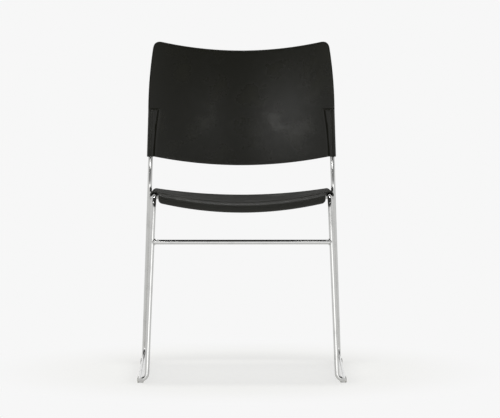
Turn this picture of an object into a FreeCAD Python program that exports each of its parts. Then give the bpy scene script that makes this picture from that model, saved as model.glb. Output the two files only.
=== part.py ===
import FreeCAD, Part

import math
import os

import Sketcher
from FreeCAD import Placement, Rotation, Vector

# A choir chair: two bent steel side rods tied by two cross rods, with a moulded seat and back.
# Millimetres and degrees. The chair faces -Y, +X is the right side seen from the front, +Z is up.
# The origin is on the floor, in the middle of the chair's footprint.

os.makedirs("parts", exist_ok=True)
doc = FreeCAD.newDocument("choir_chair")

# Driving sizes. The knee is where an upright turns into its rear leg; its half width, from the middle of the
# chair to the rod's axis, sets the width of the whole chair, and the other corners are set in or out from it.
SIZES = [
    ("rod_diameter", 11.0),
    ("fit_gap", 0.3),
    ("weld_gap", 0.3),
    # side rod
    ("knee_half_width", 220.5),
    ("runner_outset", 15.9),
    ("runner_front_y", -260.7),
    ("runner_rear_y", 213.8),
    ("runner_rear_bend", 24.0),
    ("runner_front_bend", 9.0),
    ("leg_foot_outset", 0.8),
    ("leg_foot_rise", 8.0),
    ("rail_inset", 16.0),
    ("rail_front_y", -209.2),
    ("rail_front_z", 435.0),
    ("rail_front_bend", 30.0),
    ("rail_overrun", 5.0),
    ("rail_fall_angle", 3.2),
    ("knee_y", 118.8),
    ("knee_z", 428.0),
    ("knee_bend", 70.0),
    ("upright_top_inset", 4.6),
    ("upright_top_z", 611.0),
    ("upright_recline_angle", 15.0),
    # cross rods and welds
    ("front_cross_z", 327.0),
    ("rear_cross_bow", 9.5),
    ("rear_cross_straight", 32.0),
    ("rear_cross_slope_run", 70.0),
    ("rear_cross_bend", 150.0),
    ("weld_throat", 2.8),
    ("weld_toe", 0.3),
    ("weld_skin", 0.5),
    ("weld_reach", 7.0),
    ("weld_root", 2.0),
    ("rail_weld_radius", 4.8),
    ("rail_weld_height", 4.0),
    # floor glides
    ("glide_sole", 2.0),
    ("glide_length", 44.0),
    ("glide_side_wall", 1.4),
    ("glide_grip", 2.0),
    ("glide_front_inset", 45.0),
    ("glide_rear_inset", 62.0),
    # seat shell, in the plane of the rails
    ("shell_wall", 4.0),
    ("channel_leg_gap", 0.4),
    ("channel_inner_wall", 2.2),
    ("channel_lip", 2.6),
    ("channel_start", 18.0),
    ("channel_rear_gap", 12.5),
    ("seat_front_inset", 10.6),
    ("seat_front_reach", 37.0),
    ("seat_rear_overhang", 15.0),
    ("seat_lip_radius", 20.0),
    ("seat_lip_turn_angle", 76.0),
    ("seat_lip_straight", 8.6),
    ("seat_lip_corner", 8.0),
    ("seat_front_corner", 4.0),
    ("seat_step_corner", 4.0),
    ("seat_rear_corner", 14.0),
    ("seat_front_dip", 25.3),
    ("seat_middle_dip", 25.0),
    ("seat_rear_dip", 15.4),
    # back shell
    ("socket_wall", 3.0),
    ("socket_bottom_z", 501.2),
    ("socket_cap", 3.0),
    ("socket_depth_gap", 1.0),
    ("back_depth", 46.0),
    ("back_extra_lean", 16.0),
    ("back_top_z", 777.8),
    ("back_top_inset", 5.3),
    ("back_top_dip", 26.6),
    ("back_top_corner", 16.0),
    ("back_side_bulge", 3.5),
    ("back_bottom_dip", 23.5),
    # screws
    ("screw_shank", 3.6),
    ("screw_head", 6.4),
    ("screw_head_height", 2.2),
    ("screw_bite", 2.0),
    ("screw_tip", 1.0),
    ("screw_socket", 2.5),
    ("screw_socket_depth", 1.3),
    ("hole_gap", 0.15),
    ("seat_screw_drop", 0.9),
    ("seat_screw_front_inset", 42.0),
    ("seat_screw_rear_inset", 42.0),
    ("back_screw_z", 538.0),
    ("screw_seat_depth", 1.2),
]

sheet = doc.addObject("Spreadsheet::Sheet", "sizes")
for row, (alias, value) in enumerate(SIZES, start=1):
    sheet.set("A%d" % row, alias)
    sheet.set("B%d" % row, str(value))
    sheet.setAlias("B%d" % row, alias)
doc.recompute()


def size(alias):
    """One driving size from the sheet."""
    return float(sheet.get(alias))


SIDES = {"left": -1, "right": 1}
ROD_RADIUS = size("rod_diameter") / 2
RUNNER_Z = size("glide_sole") + size("fit_gap") + ROD_RADIUS
RUNNER_HALF_WIDTH = size("knee_half_width") + size("runner_outset")
RAIL_HALF_WIDTH = size("knee_half_width") - size("rail_inset")
SEAT_FRONT_HALF_WIDTH = RAIL_HALF_WIDTH - size("seat_front_inset")
subparts = []


def finish(item, label):
    """Gives a finished sub-part the name of its file and notes it for export."""
    item.Label = label
    subparts.append(item)
    return item


def along(start, end):
    """Placement at start with its Z axis towards end."""
    return Placement(start, Rotation(Vector(0, 0, 1), end - start))


def at_height(low, high, height):
    """Point of the straight line from low to high at this height."""
    return low + (high - low) * ((height - low.z) / (high.z - low.z))


def unit(vector):
    return Vector(vector).normalize()


def reach_of(radius, before, corner, after):
    """How far from its corner an arc of this radius starts."""
    turn = unit(corner - before).getAngle(unit(after - corner))
    return radius * math.tan(turn / 2)


def bent_wire(corners, radii):
    """Straight runs between the corners, joined by tangent arcs of the given radii."""
    edges = []
    start = corners[0]
    for before, corner, after, radius in zip(corners, corners[1:], corners[2:], radii):
        arriving = unit(corner - before)
        leaving = unit(after - corner)
        reach = reach_of(radius, before, corner, after)
        first = corner - arriving * reach
        last = corner + leaving * reach
        inward = unit(leaving - arriving)
        centre = corner + inward * math.hypot(radius, reach)
        if (first - start).Length > 0.001:
            edges.append(Part.LineSegment(start, first).toShape())
        edges.append(Part.Arc(first, centre - inward * radius, last).toShape())
        start = last
    if (corners[-1] - start).Length > 0.001:
        edges.append(Part.LineSegment(start, corners[-1]).toShape())
    return Part.Wire(edges)


def feature(name, shape):
    """A document object that holds a computed shape."""
    item = doc.addObject("Part::Feature", name)
    item.Shape = shape
    return item


def cylinder(name, start, end, radius_expression):
    """A cylinder from start to end, its radius bound to the sheet."""
    item = doc.addObject("Part::Cylinder", name)
    item.setExpression("Radius", radius_expression)
    item.Height = (end - start).Length
    item.Placement = along(start, end)
    return item


def fuse(name, items):
    item = doc.addObject("Part::MultiFuse", name)
    item.Shapes = items
    return item


def cut(name, base, tools):
    """Base less each of the tools in turn."""
    for number, tool in enumerate(tools, start=1):
        item = doc.addObject("Part::Cut", "%s_%d" % (name, number))
        item.Base = base
        item.Tool = tool
        base = item
    return base


def common(name, first, second):
    item = doc.addObject("Part::MultiCommon", name)
    item.Shapes = [first, second]
    return item


def swept_rod(name, corners, radii):
    """Round rod of the frame's diameter along a bent path."""
    path = feature(name + "_path", bent_wire(corners, radii))
    section = doc.addObject("Part::Circle", name + "_section")
    section.setExpression("Radius", "sizes.rod_diameter / 2")
    section.Placement = along(corners[0], corners[1])
    rod = doc.addObject("Part::Sweep", name)
    rod.Sections = [section]
    rod.Spine = (path, ["Edge%d" % n for n in range(1, len(path.Shape.Edges) + 1)])
    rod.Solid = True
    rod.Frenet = False
    return rod


# Side rods: the corners of the rod's axis, from the top of the upright to the end of the seat rail.

def frame_corners(side):
    """Named corners of one side rod's axis, and the point of the rear leg that meets the rear cross rod."""
    fall = math.radians(size("rail_fall_angle"))
    half_width = size("knee_half_width")
    knee = Vector(side * half_width, size("knee_y"), size("knee_z"))
    runner_rear = Vector(side * RUNNER_HALF_WIDTH, size("runner_rear_y"), RUNNER_Z)
    rail_front = Vector(side * RAIL_HALF_WIDTH, size("rail_front_y"), size("rail_front_z"))
    upright_rise = size("upright_top_z") - size("knee_z")
    upright_lean = upright_rise * math.tan(math.radians(size("upright_recline_angle")))
    # The rear cross rod runs below the rails, a weld gap clear of them: where its axis meets the rear leg's.
    drop = (size("rod_diameter") + size("weld_gap")) / math.cos(fall)
    leg = runner_rear - knee
    below_rail = knee.z - rail_front.z + (knee.y - rail_front.y) * math.tan(fall) + drop
    crossing = knee + leg * (below_rail / (-leg.z - leg.y * math.tan(fall)))
    rail_length = (crossing.y - rail_front.y) / math.cos(fall) + size("rail_overrun")
    return {
        "upright_top": Vector(
            side * (half_width - size("upright_top_inset")), knee.y + upright_lean, size("upright_top_z")),
        "knee": knee,
        "crossing": crossing,
        "runner_rear": runner_rear,
        "runner_front": Vector(side * RUNNER_HALF_WIDTH, size("runner_front_y"), RUNNER_Z),
        "leg_foot": Vector(
            side * (half_width + size("leg_foot_outset")), size("runner_front_y"),
            RUNNER_Z + size("leg_foot_rise")),
        "rail_front": rail_front,
        "rail_rear": rail_front + Vector(0, math.cos(fall), -math.sin(fall)) * rail_length,
    }


def side_rod_path(corner):
    """The corners in order, and the radius of the bend at each inner one."""
    names = ["upright_top", "knee", "runner_rear", "runner_front", "leg_foot", "rail_front", "rail_rear"]
    corners = [corner[name] for name in names]
    # The outward bend at the foot of the front leg takes up what the runner's bend leaves of their run.
    shared_run = (corner["leg_foot"] - corner["runner_front"]).Length
    runner_reach = reach_of(
        size("runner_front_bend"), corner["runner_rear"], corner["runner_front"], corner["leg_foot"])
    reach_per_radius = reach_of(1.0, corner["runner_front"], corner["leg_foot"], corner["rail_front"])
    foot_bend = (shared_run - runner_reach) / reach_per_radius
    radii = [
        size("knee_bend"),
        size("runner_rear_bend"),
        size("runner_front_bend"),
        foot_bend,
        size("rail_front_bend"),
    ]
    return corners, radii


def seat_placement():
    """The seat's own plane: Y runs back along the rails' axes, Z is square to them."""
    base = Vector(0, size("rail_front_y"), size("rail_front_z"))
    return Placement(base, Rotation(Vector(1, 0, 0), -size("rail_fall_angle")))


corners_of = {side_name: frame_corners(side) for side_name, side in SIDES.items()}
# How far back the rear cross rod lies in the seat's plane, and what is set from it.
rail_run = corners_of["right"]["rail_rear"] - corners_of["right"]["rail_front"]
CROSSING_REACH = rail_run.Length - size("rail_overrun")
SEAT_REAR = CROSSING_REACH + size("seat_rear_overhang")
CHANNEL_END = CROSSING_REACH - size("channel_rear_gap")
SEAT_SCREW_REACH = {
    "front": size("channel_start") + size("seat_screw_front_inset"),
    "rear": CHANNEL_END - size("seat_screw_rear_inset"),
}


def back_screw_frame(corner):
    """Point on the upright's axis where the back screw goes, and its way out to the rear."""
    point = at_height(corner["knee"], corner["upright_top"], size("back_screw_z"))
    axis = unit(corner["upright_top"] - corner["knee"])
    outward = unit(Vector(0, 1, 0) - axis * axis.y)
    return point, outward


def seat_screw_point(side, spot, half_width):
    """Point on the axis of a seat screw, this far from the middle of the chair."""
    in_rail_plane = Vector(side * half_width, SEAT_SCREW_REACH[spot], -size("seat_screw_drop"))
    return seat_placement().multVec(in_rail_plane)


HOLE_RADIUS = "sizes.screw_shank / 2 + sizes.hole_gap"
SOCKET_RADIUS = ROD_RADIUS + size("fit_gap") + size("socket_wall")
CHANNEL_BORE = ROD_RADIUS + size("fit_gap")
CHANNEL_CROWN = CHANNEL_BORE + size("shell_wall")
CHANNEL_INNER = CHANNEL_BORE + size("channel_inner_wall")
# The outer wall reaches a gap short of the rear leg, which it passes on the inside.
CHANNEL_OUTER = size("rail_inset") - ROD_RADIUS - size("channel_leg_gap")

side_rods = {}
for side_name, side in SIDES.items():
    corner = corners_of[side_name]
    rod = swept_rod("side_rod_" + side_name, *side_rod_path(corner))
    holes = []
    for spot in ("front", "rear"):
        mouth = seat_screw_point(side, spot, RAIL_HALF_WIDTH - size("rod_diameter"))
        bottom = seat_screw_point(side, spot, RAIL_HALF_WIDTH + size("screw_bite") + size("hole_gap"))
        holes.append(cylinder("rail_hole_%s_%s" % (spot, side_name), mouth, bottom, HOLE_RADIUS))
    point, outward = back_screw_frame(corner)
    holes.append(cylinder(
        "upright_hole_" + side_name, point - outward * (size("screw_bite") + size("hole_gap")),
        point + outward * size("rod_diameter"), HOLE_RADIUS))
    side_rods[side_name] = finish(
        cut("drilled_side_rod_" + side_name, rod, holes), side_name + "_side_rod")


# Cross rods. Each ends a weld gap short of the legs.

def inner_face(axis_point, way, slant_from, slant_to):
    """Point of a slanting rod's inner face at the height of axis_point, less the weld gap."""
    slant = unit(slant_to - slant_from)
    radius_across = ROD_RADIUS / math.sqrt(1 - slant.x ** 2)
    return axis_point - Vector(way * (radius_across + size("weld_gap")), 0, 0)


front_joint = {}
rear_joint = {}
rail_joint = {}
for side_name, side in SIDES.items():
    corner = corners_of[side_name]
    on_leg = at_height(corner["leg_foot"], corner["rail_front"], size("front_cross_z"))
    front_joint[side_name] = inner_face(on_leg, side, corner["leg_foot"], corner["rail_front"])
    rear_joint[side_name] = inner_face(corner["crossing"], side, corner["runner_rear"], corner["knee"])
    half_drop = (ROD_RADIUS + size("weld_gap") / 2) / math.cos(math.radians(size("rail_fall_angle")))
    rail_joint[side_name] = Vector(
        side * RAIL_HALF_WIDTH, corner["crossing"].y, corner["crossing"].z + half_drop)

front_cross_rod = finish(
    cylinder("front_bar", front_joint["left"], front_joint["right"], "sizes.rod_diameter / 2"),
    "front_cross_rod")

left_end = rear_joint["left"]
right_end = rear_joint["right"]
inset = Vector(size("rear_cross_straight"), 0, 0)
dip = Vector(size("rear_cross_slope_run"), 0, -size("rear_cross_bow"))
mirrored_dip = Vector(-dip.x, 0, dip.z)
rear_cross_corners = [
    left_end,
    left_end + inset,
    left_end + inset + dip,
    right_end - inset + mirrored_dip,
    right_end - inset,
    right_end,
]
rear_cross_rod = finish(
    swept_rod("rear_bar", rear_cross_corners, [size("rear_cross_bend")] * 4), "rear_cross_rod")

# Weld beads: flat-sided fillets above and below each end of a cross rod, and pads where it crosses the rails.

def weld(label, side_name, joint, bar):
    """Fillet round the end of a cross rod, cut to the rods that it joins."""
    way = Vector(SIDES[side_name], 0, 0)
    root = joint + way * size("weld_root")
    cone = doc.addObject("Part::Cone", label + "_cone")
    cone.setExpression("Radius1", "sizes.rod_diameter / 2 + sizes.weld_throat")
    cone.setExpression("Radius2", "sizes.rod_diameter / 2 + sizes.weld_toe")
    cone.setExpression("Height", "sizes.weld_reach")
    cone.Placement = along(root, root - way)
    slab = doc.addObject("Part::Box", label + "_slab")
    slab.Length = 2 * size("weld_reach")
    slab.setExpression("Width", "sizes.rod_diameter + 2 * sizes.weld_skin")
    slab.Height = 2 * size("rod_diameter")
    slab.Placement.Base = root - Vector(slab.Length / 2, ROD_RADIUS + size("weld_skin"), ROD_RADIUS * 2)
    fillet = common(label + "_fillet", cone, slab)
    finish(cut(label + "_cut", fillet, [side_rods[side_name], bar]), label)


for side_name in SIDES:
    weld("front_weld_" + side_name, side_name, front_joint[side_name], front_cross_rod)
    weld("rear_weld_" + side_name, side_name, rear_joint[side_name], rear_cross_rod)
    half_pad = Vector(0, 0, size("rail_weld_height") / 2)
    pad = cylinder(
        "rail_pad_" + side_name, rail_joint[side_name] - half_pad, rail_joint[side_name] + half_pad,
        "sizes.rail_weld_radius")
    finish(
        cut("rail_weld_cut_" + side_name, pad, [side_rods[side_name], rear_cross_rod]),
        "rail_weld_" + side_name)

# Floor glides: nylon saddles that snap on the runners from below.

def new_body(name):
    return doc.addObject("PartDesign::Body", name)


def new_sketch(body, name, role):
    """An empty sketch on one of the body's own planes."""
    sketch = body.newObject("Sketcher::SketchObject", name)
    plane = [item for item in body.Origin.OriginFeatures if item.Role == role][0]
    sketch.AttachmentSupport = [(plane, "")]
    sketch.MapMode = "FlatFace"
    return sketch


def glide(label, centre):
    """A saddle under the runner, its sole on the floor and its two lips just above the rod's middle."""
    bore = ROD_RADIUS + size("fit_gap")
    half_width = bore + size("glide_side_wall")
    lip = size("glide_grip")
    sole = -(ROD_RADIUS + size("fit_gap") + size("glide_sole"))
    grip_x = math.sqrt(bore ** 2 - lip ** 2)
    body = new_body(label + "_body")
    sketch = new_sketch(body, label + "_section", "XZ_Plane")
    outline = [
        Vector(-grip_x, lip, 0), Vector(-half_width, lip, 0), Vector(-half_width, sole, 0),
        Vector(half_width, sole, 0), Vector(half_width, lip, 0), Vector(grip_x, lip, 0)]
    for start, end in zip(outline, outline[1:]):
        sketch.addGeometry(Part.LineSegment(start, end), False)
    sketch.addGeometry(Part.Arc(outline[0], Vector(0, -bore, 0), outline[-1]), False)
    for line in range(4):
        sketch.addConstraint(Sketcher.Constraint("Coincident", line, 2, line + 1, 1))
    for line in (0, 2, 4):
        sketch.addConstraint(Sketcher.Constraint("Horizontal", line))
    for line in (1, 3):
        sketch.addConstraint(Sketcher.Constraint("Vertical", line))
    sketch.addConstraint(Sketcher.Constraint("Coincident", 0, 1, 5, 1))
    sketch.addConstraint(Sketcher.Constraint("Coincident", 4, 2, 5, 2))
    sketch.addConstraint(Sketcher.Constraint("Coincident", 5, 3, -1, 1))
    bore_size = sketch.addConstraint(Sketcher.Constraint("Radius", 5, bore))
    sketch.setExpression("Constraints[%d]" % bore_size, "sizes.rod_diameter / 2 + sizes.fit_gap")
    sketch.addConstraint(Sketcher.Constraint("Symmetric", 1, 1, 3, 2, -2))
    width = sketch.addConstraint(Sketcher.Constraint("DistanceX", 2, 1, 2, 2, half_width * 2))
    sketch.setExpression(
        "Constraints[%d]" % width, "sizes.rod_diameter + 2 * (sizes.fit_gap + sizes.glide_side_wall)")
    height = sketch.addConstraint(Sketcher.Constraint("DistanceY", 2, 1, -1, 1, -sole))
    sketch.setExpression(
        "Constraints[%d]" % height, "sizes.rod_diameter / 2 + sizes.fit_gap + sizes.glide_sole")
    grip = sketch.addConstraint(Sketcher.Constraint("DistanceY", -1, 1, 0, 1, lip))
    sketch.setExpression("Constraints[%d]" % grip, "sizes.glide_grip")
    pad = body.newObject("PartDesign::Pad", label + "_length")
    pad.Profile = sketch
    pad.setExpression("Length", "sizes.glide_length")
    pad.Midplane = True
    doc.recompute()
    body.Placement.Base = centre
    return finish(body, label)


for side_name, side in SIDES.items():
    x = side * RUNNER_HALF_WIDTH
    glide("glide_front_" + side_name, Vector(x, size("runner_front_y") + size("glide_front_inset"), RUNNER_Z))
    glide("glide_rear_" + side_name, Vector(x, size("runner_rear_y") - size("glide_rear_inset"), RUNNER_Z))


# Seat shell, drawn in the plane of the rails: X across, Y back from their front bend, Z up from their axes.

PANEL_STATIONS = 4
DIP_POINTS = 5
CLEAR_OF_SHAPE = 40.0


def dip_along(y):
    """Depth of the seat's dip in the middle, at this distance back: a parabola through three stations."""
    front = -size("seat_front_reach") + size("seat_lip_radius")
    rear = SEAT_REAR
    middle = (front + rear) / 2
    weights = (
        (y - middle) * (y - rear) / ((front - middle) * (front - rear)),
        (y - front) * (y - rear) / ((middle - front) * (middle - rear)),
        (y - front) * (y - middle) / ((rear - front) * (rear - middle)))
    dips = (size("seat_front_dip"), size("seat_middle_dip"), size("seat_rear_dip"))
    return sum(weight * depth for weight, depth in zip(weights, dips))


def seat_top(x, y):
    """Height of the seat's upper face, level with the channels' crowns at the rails."""
    return CHANNEL_CROWN - dip_along(y) * (1 - (x / RAIL_HALF_WIDTH) ** 2)


def smooth_edge(points):
    curve = Part.BSplineCurve()
    curve.interpolate(points)
    return curve.toShape()


def seat_profile(x):
    """Closed outline of the seat's wall, front to back, at this distance from the middle."""
    wall = size("shell_wall")
    radius = size("seat_lip_radius")
    turn = math.radians(size("seat_lip_turn_angle"))
    crest = -size("seat_front_reach") + radius
    rear = SEAT_REAR
    stations = [crest + (rear - crest) * step / DIP_POINTS for step in range(DIP_POINTS + 1)]
    upper = [Vector(x, y, seat_top(x, y)) for y in stations]
    lower = [point - Vector(0, 0, wall) for point in upper]
    centre = upper[0] - Vector(0, 0, radius)

    def on_lip(distance, angle):
        return centre + Vector(0, -math.sin(angle), math.cos(angle)) * distance

    down = Vector(0, -math.cos(turn), -math.sin(turn)) * size("seat_lip_straight")
    outer_end = on_lip(radius, turn)
    inner_end = on_lip(radius - wall, turn)
    return Part.Wire([
        smooth_edge(upper[::-1]),
        Part.Arc(upper[0], on_lip(radius, turn / 2), outer_end).toShape(),
        Part.LineSegment(outer_end, outer_end + down).toShape(),
        Part.LineSegment(outer_end + down, inner_end + down).toShape(),
        Part.LineSegment(inner_end + down, inner_end).toShape(),
        Part.Arc(inner_end, on_lip(radius - wall, turn / 2), lower[0]).toShape(),
        smooth_edge(lower),
        Part.LineSegment(lower[-1], upper[-1]).toShape(),
    ])


def seat_channel(side):
    """The inverted channel over one rail, its outer wall thick and its inner wall thin."""
    middle = side * RAIL_HALF_WIDTH
    bore = CHANNEL_BORE
    lip = -size("channel_lip")
    y = size("channel_start") - size("seat_step_corner")

    def point(across, up):
        return Vector(middle + side * across, y, up)

    def shoulder(across, up):
        """Quarter of an ellipse from the wall's side to its crown."""
        long_end, short_end = point(across, 0), point(0, up)
        if abs(across) < up:
            long_end, short_end = short_end, long_end
        ellipse = Part.Ellipse(long_end, short_end, point(0, 0))
        return Part.ArcOfEllipse(ellipse, 0, math.pi / 2).toShape()

    wire = Part.Wire([
        Part.LineSegment(point(-CHANNEL_INNER, lip), point(-CHANNEL_INNER, 0)).toShape(),
        shoulder(-CHANNEL_INNER, CHANNEL_CROWN),
        shoulder(CHANNEL_OUTER, CHANNEL_CROWN),
        Part.LineSegment(point(CHANNEL_OUTER, 0), point(CHANNEL_OUTER, lip)).toShape(),
        Part.LineSegment(point(CHANNEL_OUTER, lip), point(bore, lip)).toShape(),
        Part.LineSegment(point(bore, lip), point(bore, 0)).toShape(),
        Part.Arc(point(bore, 0), point(0, bore), point(-bore, 0)).toShape(),
        Part.LineSegment(point(-bore, 0), point(-bore, lip)).toShape(),
        Part.LineSegment(point(-bore, lip), point(-CHANNEL_INNER, lip)).toShape(),
    ])
    return Part.Face(wire).extrude(Vector(0, SEAT_REAR - y, 0))


def seat_plan():
    """Plan of the seat as a tall prism: narrow between the front legs, wide over the rails."""
    lip_front = -size("seat_front_reach")
    step = size("channel_start")
    rear = SEAT_REAR
    narrow = SEAT_FRONT_HALF_WIDTH
    wide = RAIL_HALF_WIDTH + CHANNEL_OUTER
    half = [
        Vector(0, lip_front, 0), Vector(narrow, lip_front, 0), Vector(narrow, step, 0),
        Vector(wide, step, 0), Vector(wide, rear, 0), Vector(0, rear, 0)]
    radii = [size(name) for name in (
        "seat_front_corner", "seat_step_corner", "seat_step_corner", "seat_rear_corner")]
    right = bent_wire(half, radii)
    left = right.mirror(Vector(0, 0, 0), Vector(1, 0, 0))
    outline = Part.Wire(Part.__sortEdges__(right.Edges + left.Edges))
    prism = Part.Face(outline).extrude(Vector(0, 0, 4 * CLEAR_OF_SHAPE))
    prism.translate(Vector(0, 0, -2 * CLEAR_OF_SHAPE))
    return prism


station_gap = RAIL_HALF_WIDTH / PANEL_STATIONS
profiles = [seat_profile(step * station_gap) for step in range(-PANEL_STATIONS, PANEL_STATIONS + 1)]
panel = feature("seat_panel", Part.makeLoft(profiles, True, False))
channels = [feature("seat_channel_" + name, seat_channel(side)) for name, side in SIDES.items()]
blank = fuse("seat_blank", [panel] + channels)
trimmed = common("seat_trimmed", blank, feature("seat_plan", seat_plan()))


def lip_corner_tool(side):
    """What is cut off a lower corner of the front lip, to leave it round."""
    narrow = SEAT_FRONT_HALF_WIDTH
    radius = size("seat_lip_corner")
    turn = math.radians(size("seat_lip_turn_angle"))
    crest = -size("seat_front_reach") + size("seat_lip_radius")
    slope = 2 * narrow * dip_along(crest) / RAIL_HALF_WIDTH ** 2
    lip_drop = size("seat_lip_radius") * (1 - math.cos(turn)) + size("seat_lip_straight") * math.sin(turn)
    edge = seat_top(narrow, crest) - lip_drop
    stretch = math.hypot(1, slope)
    centre = Vector(narrow - radius, 0, edge - slope * radius + radius * stretch)
    low = centre + Vector(slope, 0, -1) * (radius / stretch)
    halfway = centre + unit(Vector(1, 0, 0) + (low - centre) * (1 / radius)) * radius
    side_point = centre + Vector(radius, 0, 0)
    outside = Vector(CLEAR_OF_SHAPE, 0, 0)
    below = Vector(0, 0, -CLEAR_OF_SHAPE)
    wire = Part.Wire([
        Part.Arc(low, halfway, side_point).toShape(),
        Part.LineSegment(side_point, side_point + outside).toShape(),
        Part.LineSegment(side_point + outside, side_point + outside + below).toShape(),
        Part.LineSegment(side_point + outside + below, Vector(low.x, 0, side_point.z) + below).toShape(),
        Part.LineSegment(Vector(low.x, 0, side_point.z) + below, low).toShape(),
    ])
    tool = Part.Face(wire).extrude(Vector(0, CLEAR_OF_SHAPE + size("channel_start"), 0))
    tool.translate(Vector(0, -CLEAR_OF_SHAPE, 0))
    if side < 0:
        tool = tool.mirror(Vector(0, 0, 0), Vector(1, 0, 0))
    return tool


def rear_relief():
    """Takes the channels' lips away over the rear cross rod and its welds."""
    width = 2 * (RAIL_HALF_WIDTH + CHANNEL_OUTER + CLEAR_OF_SHAPE)
    start = CHANNEL_END
    relief = Part.makeBox(width, SEAT_REAR - start + CLEAR_OF_SHAPE, CLEAR_OF_SHAPE)
    relief.translate(Vector(-width / 2, start, -CLEAR_OF_SHAPE))
    # Only the channels are cut: the dished panel between them hangs lower than their lips.
    keep = Part.makeBox(2 * (RAIL_HALF_WIDTH - CHANNEL_INNER), 2 * width, 2 * CLEAR_OF_SHAPE)
    keep.translate(Vector(-keep.BoundBox.XLength / 2, 0, -CLEAR_OF_SHAPE))
    return relief.cut(keep)


seat_tools = [feature("seat_lip_corner_" + name, lip_corner_tool(side)) for name, side in SIDES.items()]
seat_tools.append(feature("seat_rear_relief", rear_relief()))
for side_name, side in SIDES.items():
    for spot in ("front", "rear"):
        start = Vector(
            side * (RAIL_HALF_WIDTH - CHANNEL_INNER - size("screw_head_height")),
            SEAT_SCREW_REACH[spot], -size("seat_screw_drop"))
        end = Vector(side * RAIL_HALF_WIDTH, start.y, start.z)
        seat_tools.append(cylinder("lip_hole_%s_%s" % (spot, side_name), start, end, HOLE_RADIUS))
seat = finish(cut("seat_cut", trimmed, seat_tools), "seat_shell")
doc.recompute()
seat.Placement = seat_placement()

# Back shell: a curved wall cut to its outline, with a socket down each side for the uprights.

BACK_SECTIONS = 6


def back_side_y(z):
    """Depth of the wall's middle at the uprights, which carries on above them with extra lean."""
    knee = corners_of["right"]["knee"]
    y = knee.y + (z - knee.z) * math.tan(math.radians(size("upright_recline_angle")))
    above = max(0.0, z - size("socket_bottom_z"))
    full = size("back_top_z") - size("socket_bottom_z")
    return y + size("back_extra_lean") * (above / full) ** 2


def back_section(z):
    """Level section of the wall: two concentric arcs, deepest in the middle."""
    half = at_height(corners_of["right"]["knee"], corners_of["right"]["upright_top"], z).x
    depth = size("back_depth")
    radius = (half ** 2 + depth ** 2) / (2 * depth)
    centre = Vector(0, back_side_y(z) + depth - radius, z)
    reach = math.asin((half + size("rod_diameter") * 2) / radius)

    def on_arc(distance, angle):
        return centre + Vector(math.sin(angle), math.cos(angle), 0) * distance

    front = radius - size("shell_wall") / 2
    rear = radius + size("shell_wall") / 2
    return Part.Wire([
        Part.Arc(on_arc(front, -reach), on_arc(front, 0), on_arc(front, reach)).toShape(),
        Part.LineSegment(on_arc(front, reach), on_arc(rear, reach)).toShape(),
        Part.Arc(on_arc(rear, reach), on_arc(rear, 0), on_arc(rear, -reach)).toShape(),
        Part.LineSegment(on_arc(rear, -reach), on_arc(front, -reach)).toShape(),
    ])


def back_outline():
    """Outline of the back seen from the front, as a deep prism with its upper corners rounded."""
    bottom = size("socket_bottom_z")
    top = size("back_top_z")
    low = at_height(corners_of["right"]["knee"], corners_of["right"]["upright_top"], bottom)
    high = corners_of["right"]["upright_top"]
    lower = Vector(low.x + SOCKET_RADIUS, 0, bottom)
    socket_top = Vector(high.x + SOCKET_RADIUS, 0, high.z)
    upper = Vector(size("knee_half_width") - size("upright_top_inset") - size("back_top_inset"), 0, top)
    bulge = (socket_top + upper) * 0.5 + Vector(size("back_side_bulge"), 0, 0)
    inner = Vector(low.x - SOCKET_RADIUS, 0, bottom)

    def mirrored(point):
        return Vector(-point.x, 0, point.z)

    outline = Part.Wire([
        Part.Arc(mirrored(inner), Vector(0, 0, bottom - size("back_bottom_dip")), inner).toShape(),
        Part.LineSegment(inner, lower).toShape(),
        Part.LineSegment(lower, socket_top).toShape(),
        Part.Arc(socket_top, bulge, upper).toShape(),
        Part.Arc(upper, Vector(0, 0, top - size("back_top_dip")), mirrored(upper)).toShape(),
        Part.Arc(mirrored(upper), mirrored(bulge), mirrored(socket_top)).toShape(),
        Part.LineSegment(mirrored(socket_top), mirrored(lower)).toShape(),
        Part.LineSegment(mirrored(lower), mirrored(inner)).toShape(),
    ])
    prism = Part.Face(outline).extrude(Vector(0, 10 * CLEAR_OF_SHAPE, 0))
    corner_edges = [
        edge for edge in prism.Edges
        if abs(edge.Vertexes[0].Z - top) < 0.001 and abs(edge.Vertexes[-1].Z - top) < 0.001
        and edge.BoundBox.YLength > CLEAR_OF_SHAPE]
    return prism.makeFillet(size("back_top_corner"), corner_edges)


lowest = size("socket_bottom_z") - size("back_bottom_dip") - size("rod_diameter")
highest = size("back_top_z") + size("rod_diameter")
levels = [lowest + (highest - lowest) * step / BACK_SECTIONS for step in range(BACK_SECTIONS + 1)]
wall = feature("back_wall", Part.makeLoft([back_section(z) for z in levels], True, False))
shell = common("back_trimmed", wall, feature("back_outline", back_outline()))

sockets = []
back_tools = []
for side_name, side in SIDES.items():
    corner = corners_of[side_name]
    upward = unit(corner["upright_top"] - corner["knee"])
    foot = at_height(corner["knee"], corner["upright_top"], size("socket_bottom_z"))
    bore_top = corner["upright_top"] + upward * size("socket_depth_gap")
    sockets.append(cylinder(
        "socket_" + side_name, foot, bore_top + upward * size("socket_cap"),
        "sizes.rod_diameter / 2 + sizes.fit_gap + sizes.socket_wall"))
    back_tools.append(cylinder(
        "socket_bore_" + side_name, foot - upward * CLEAR_OF_SHAPE, bore_top,
        "sizes.rod_diameter / 2 + sizes.fit_gap"))
    point, outward = back_screw_frame(corner)
    seat_level = point + outward * (SOCKET_RADIUS - size("screw_seat_depth"))
    back_tools.append(cylinder(
        "socket_hole_" + side_name, point, point + outward * CLEAR_OF_SHAPE, HOLE_RADIUS))
    back_tools.append(cylinder(
        "socket_spotface_" + side_name, seat_level, seat_level + outward * CLEAR_OF_SHAPE,
        "sizes.screw_head / 2 + sizes.fit_gap"))
finish(cut("back_cut", fuse("back_blank", [shell] + sockets), back_tools), "back_shell")


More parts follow.
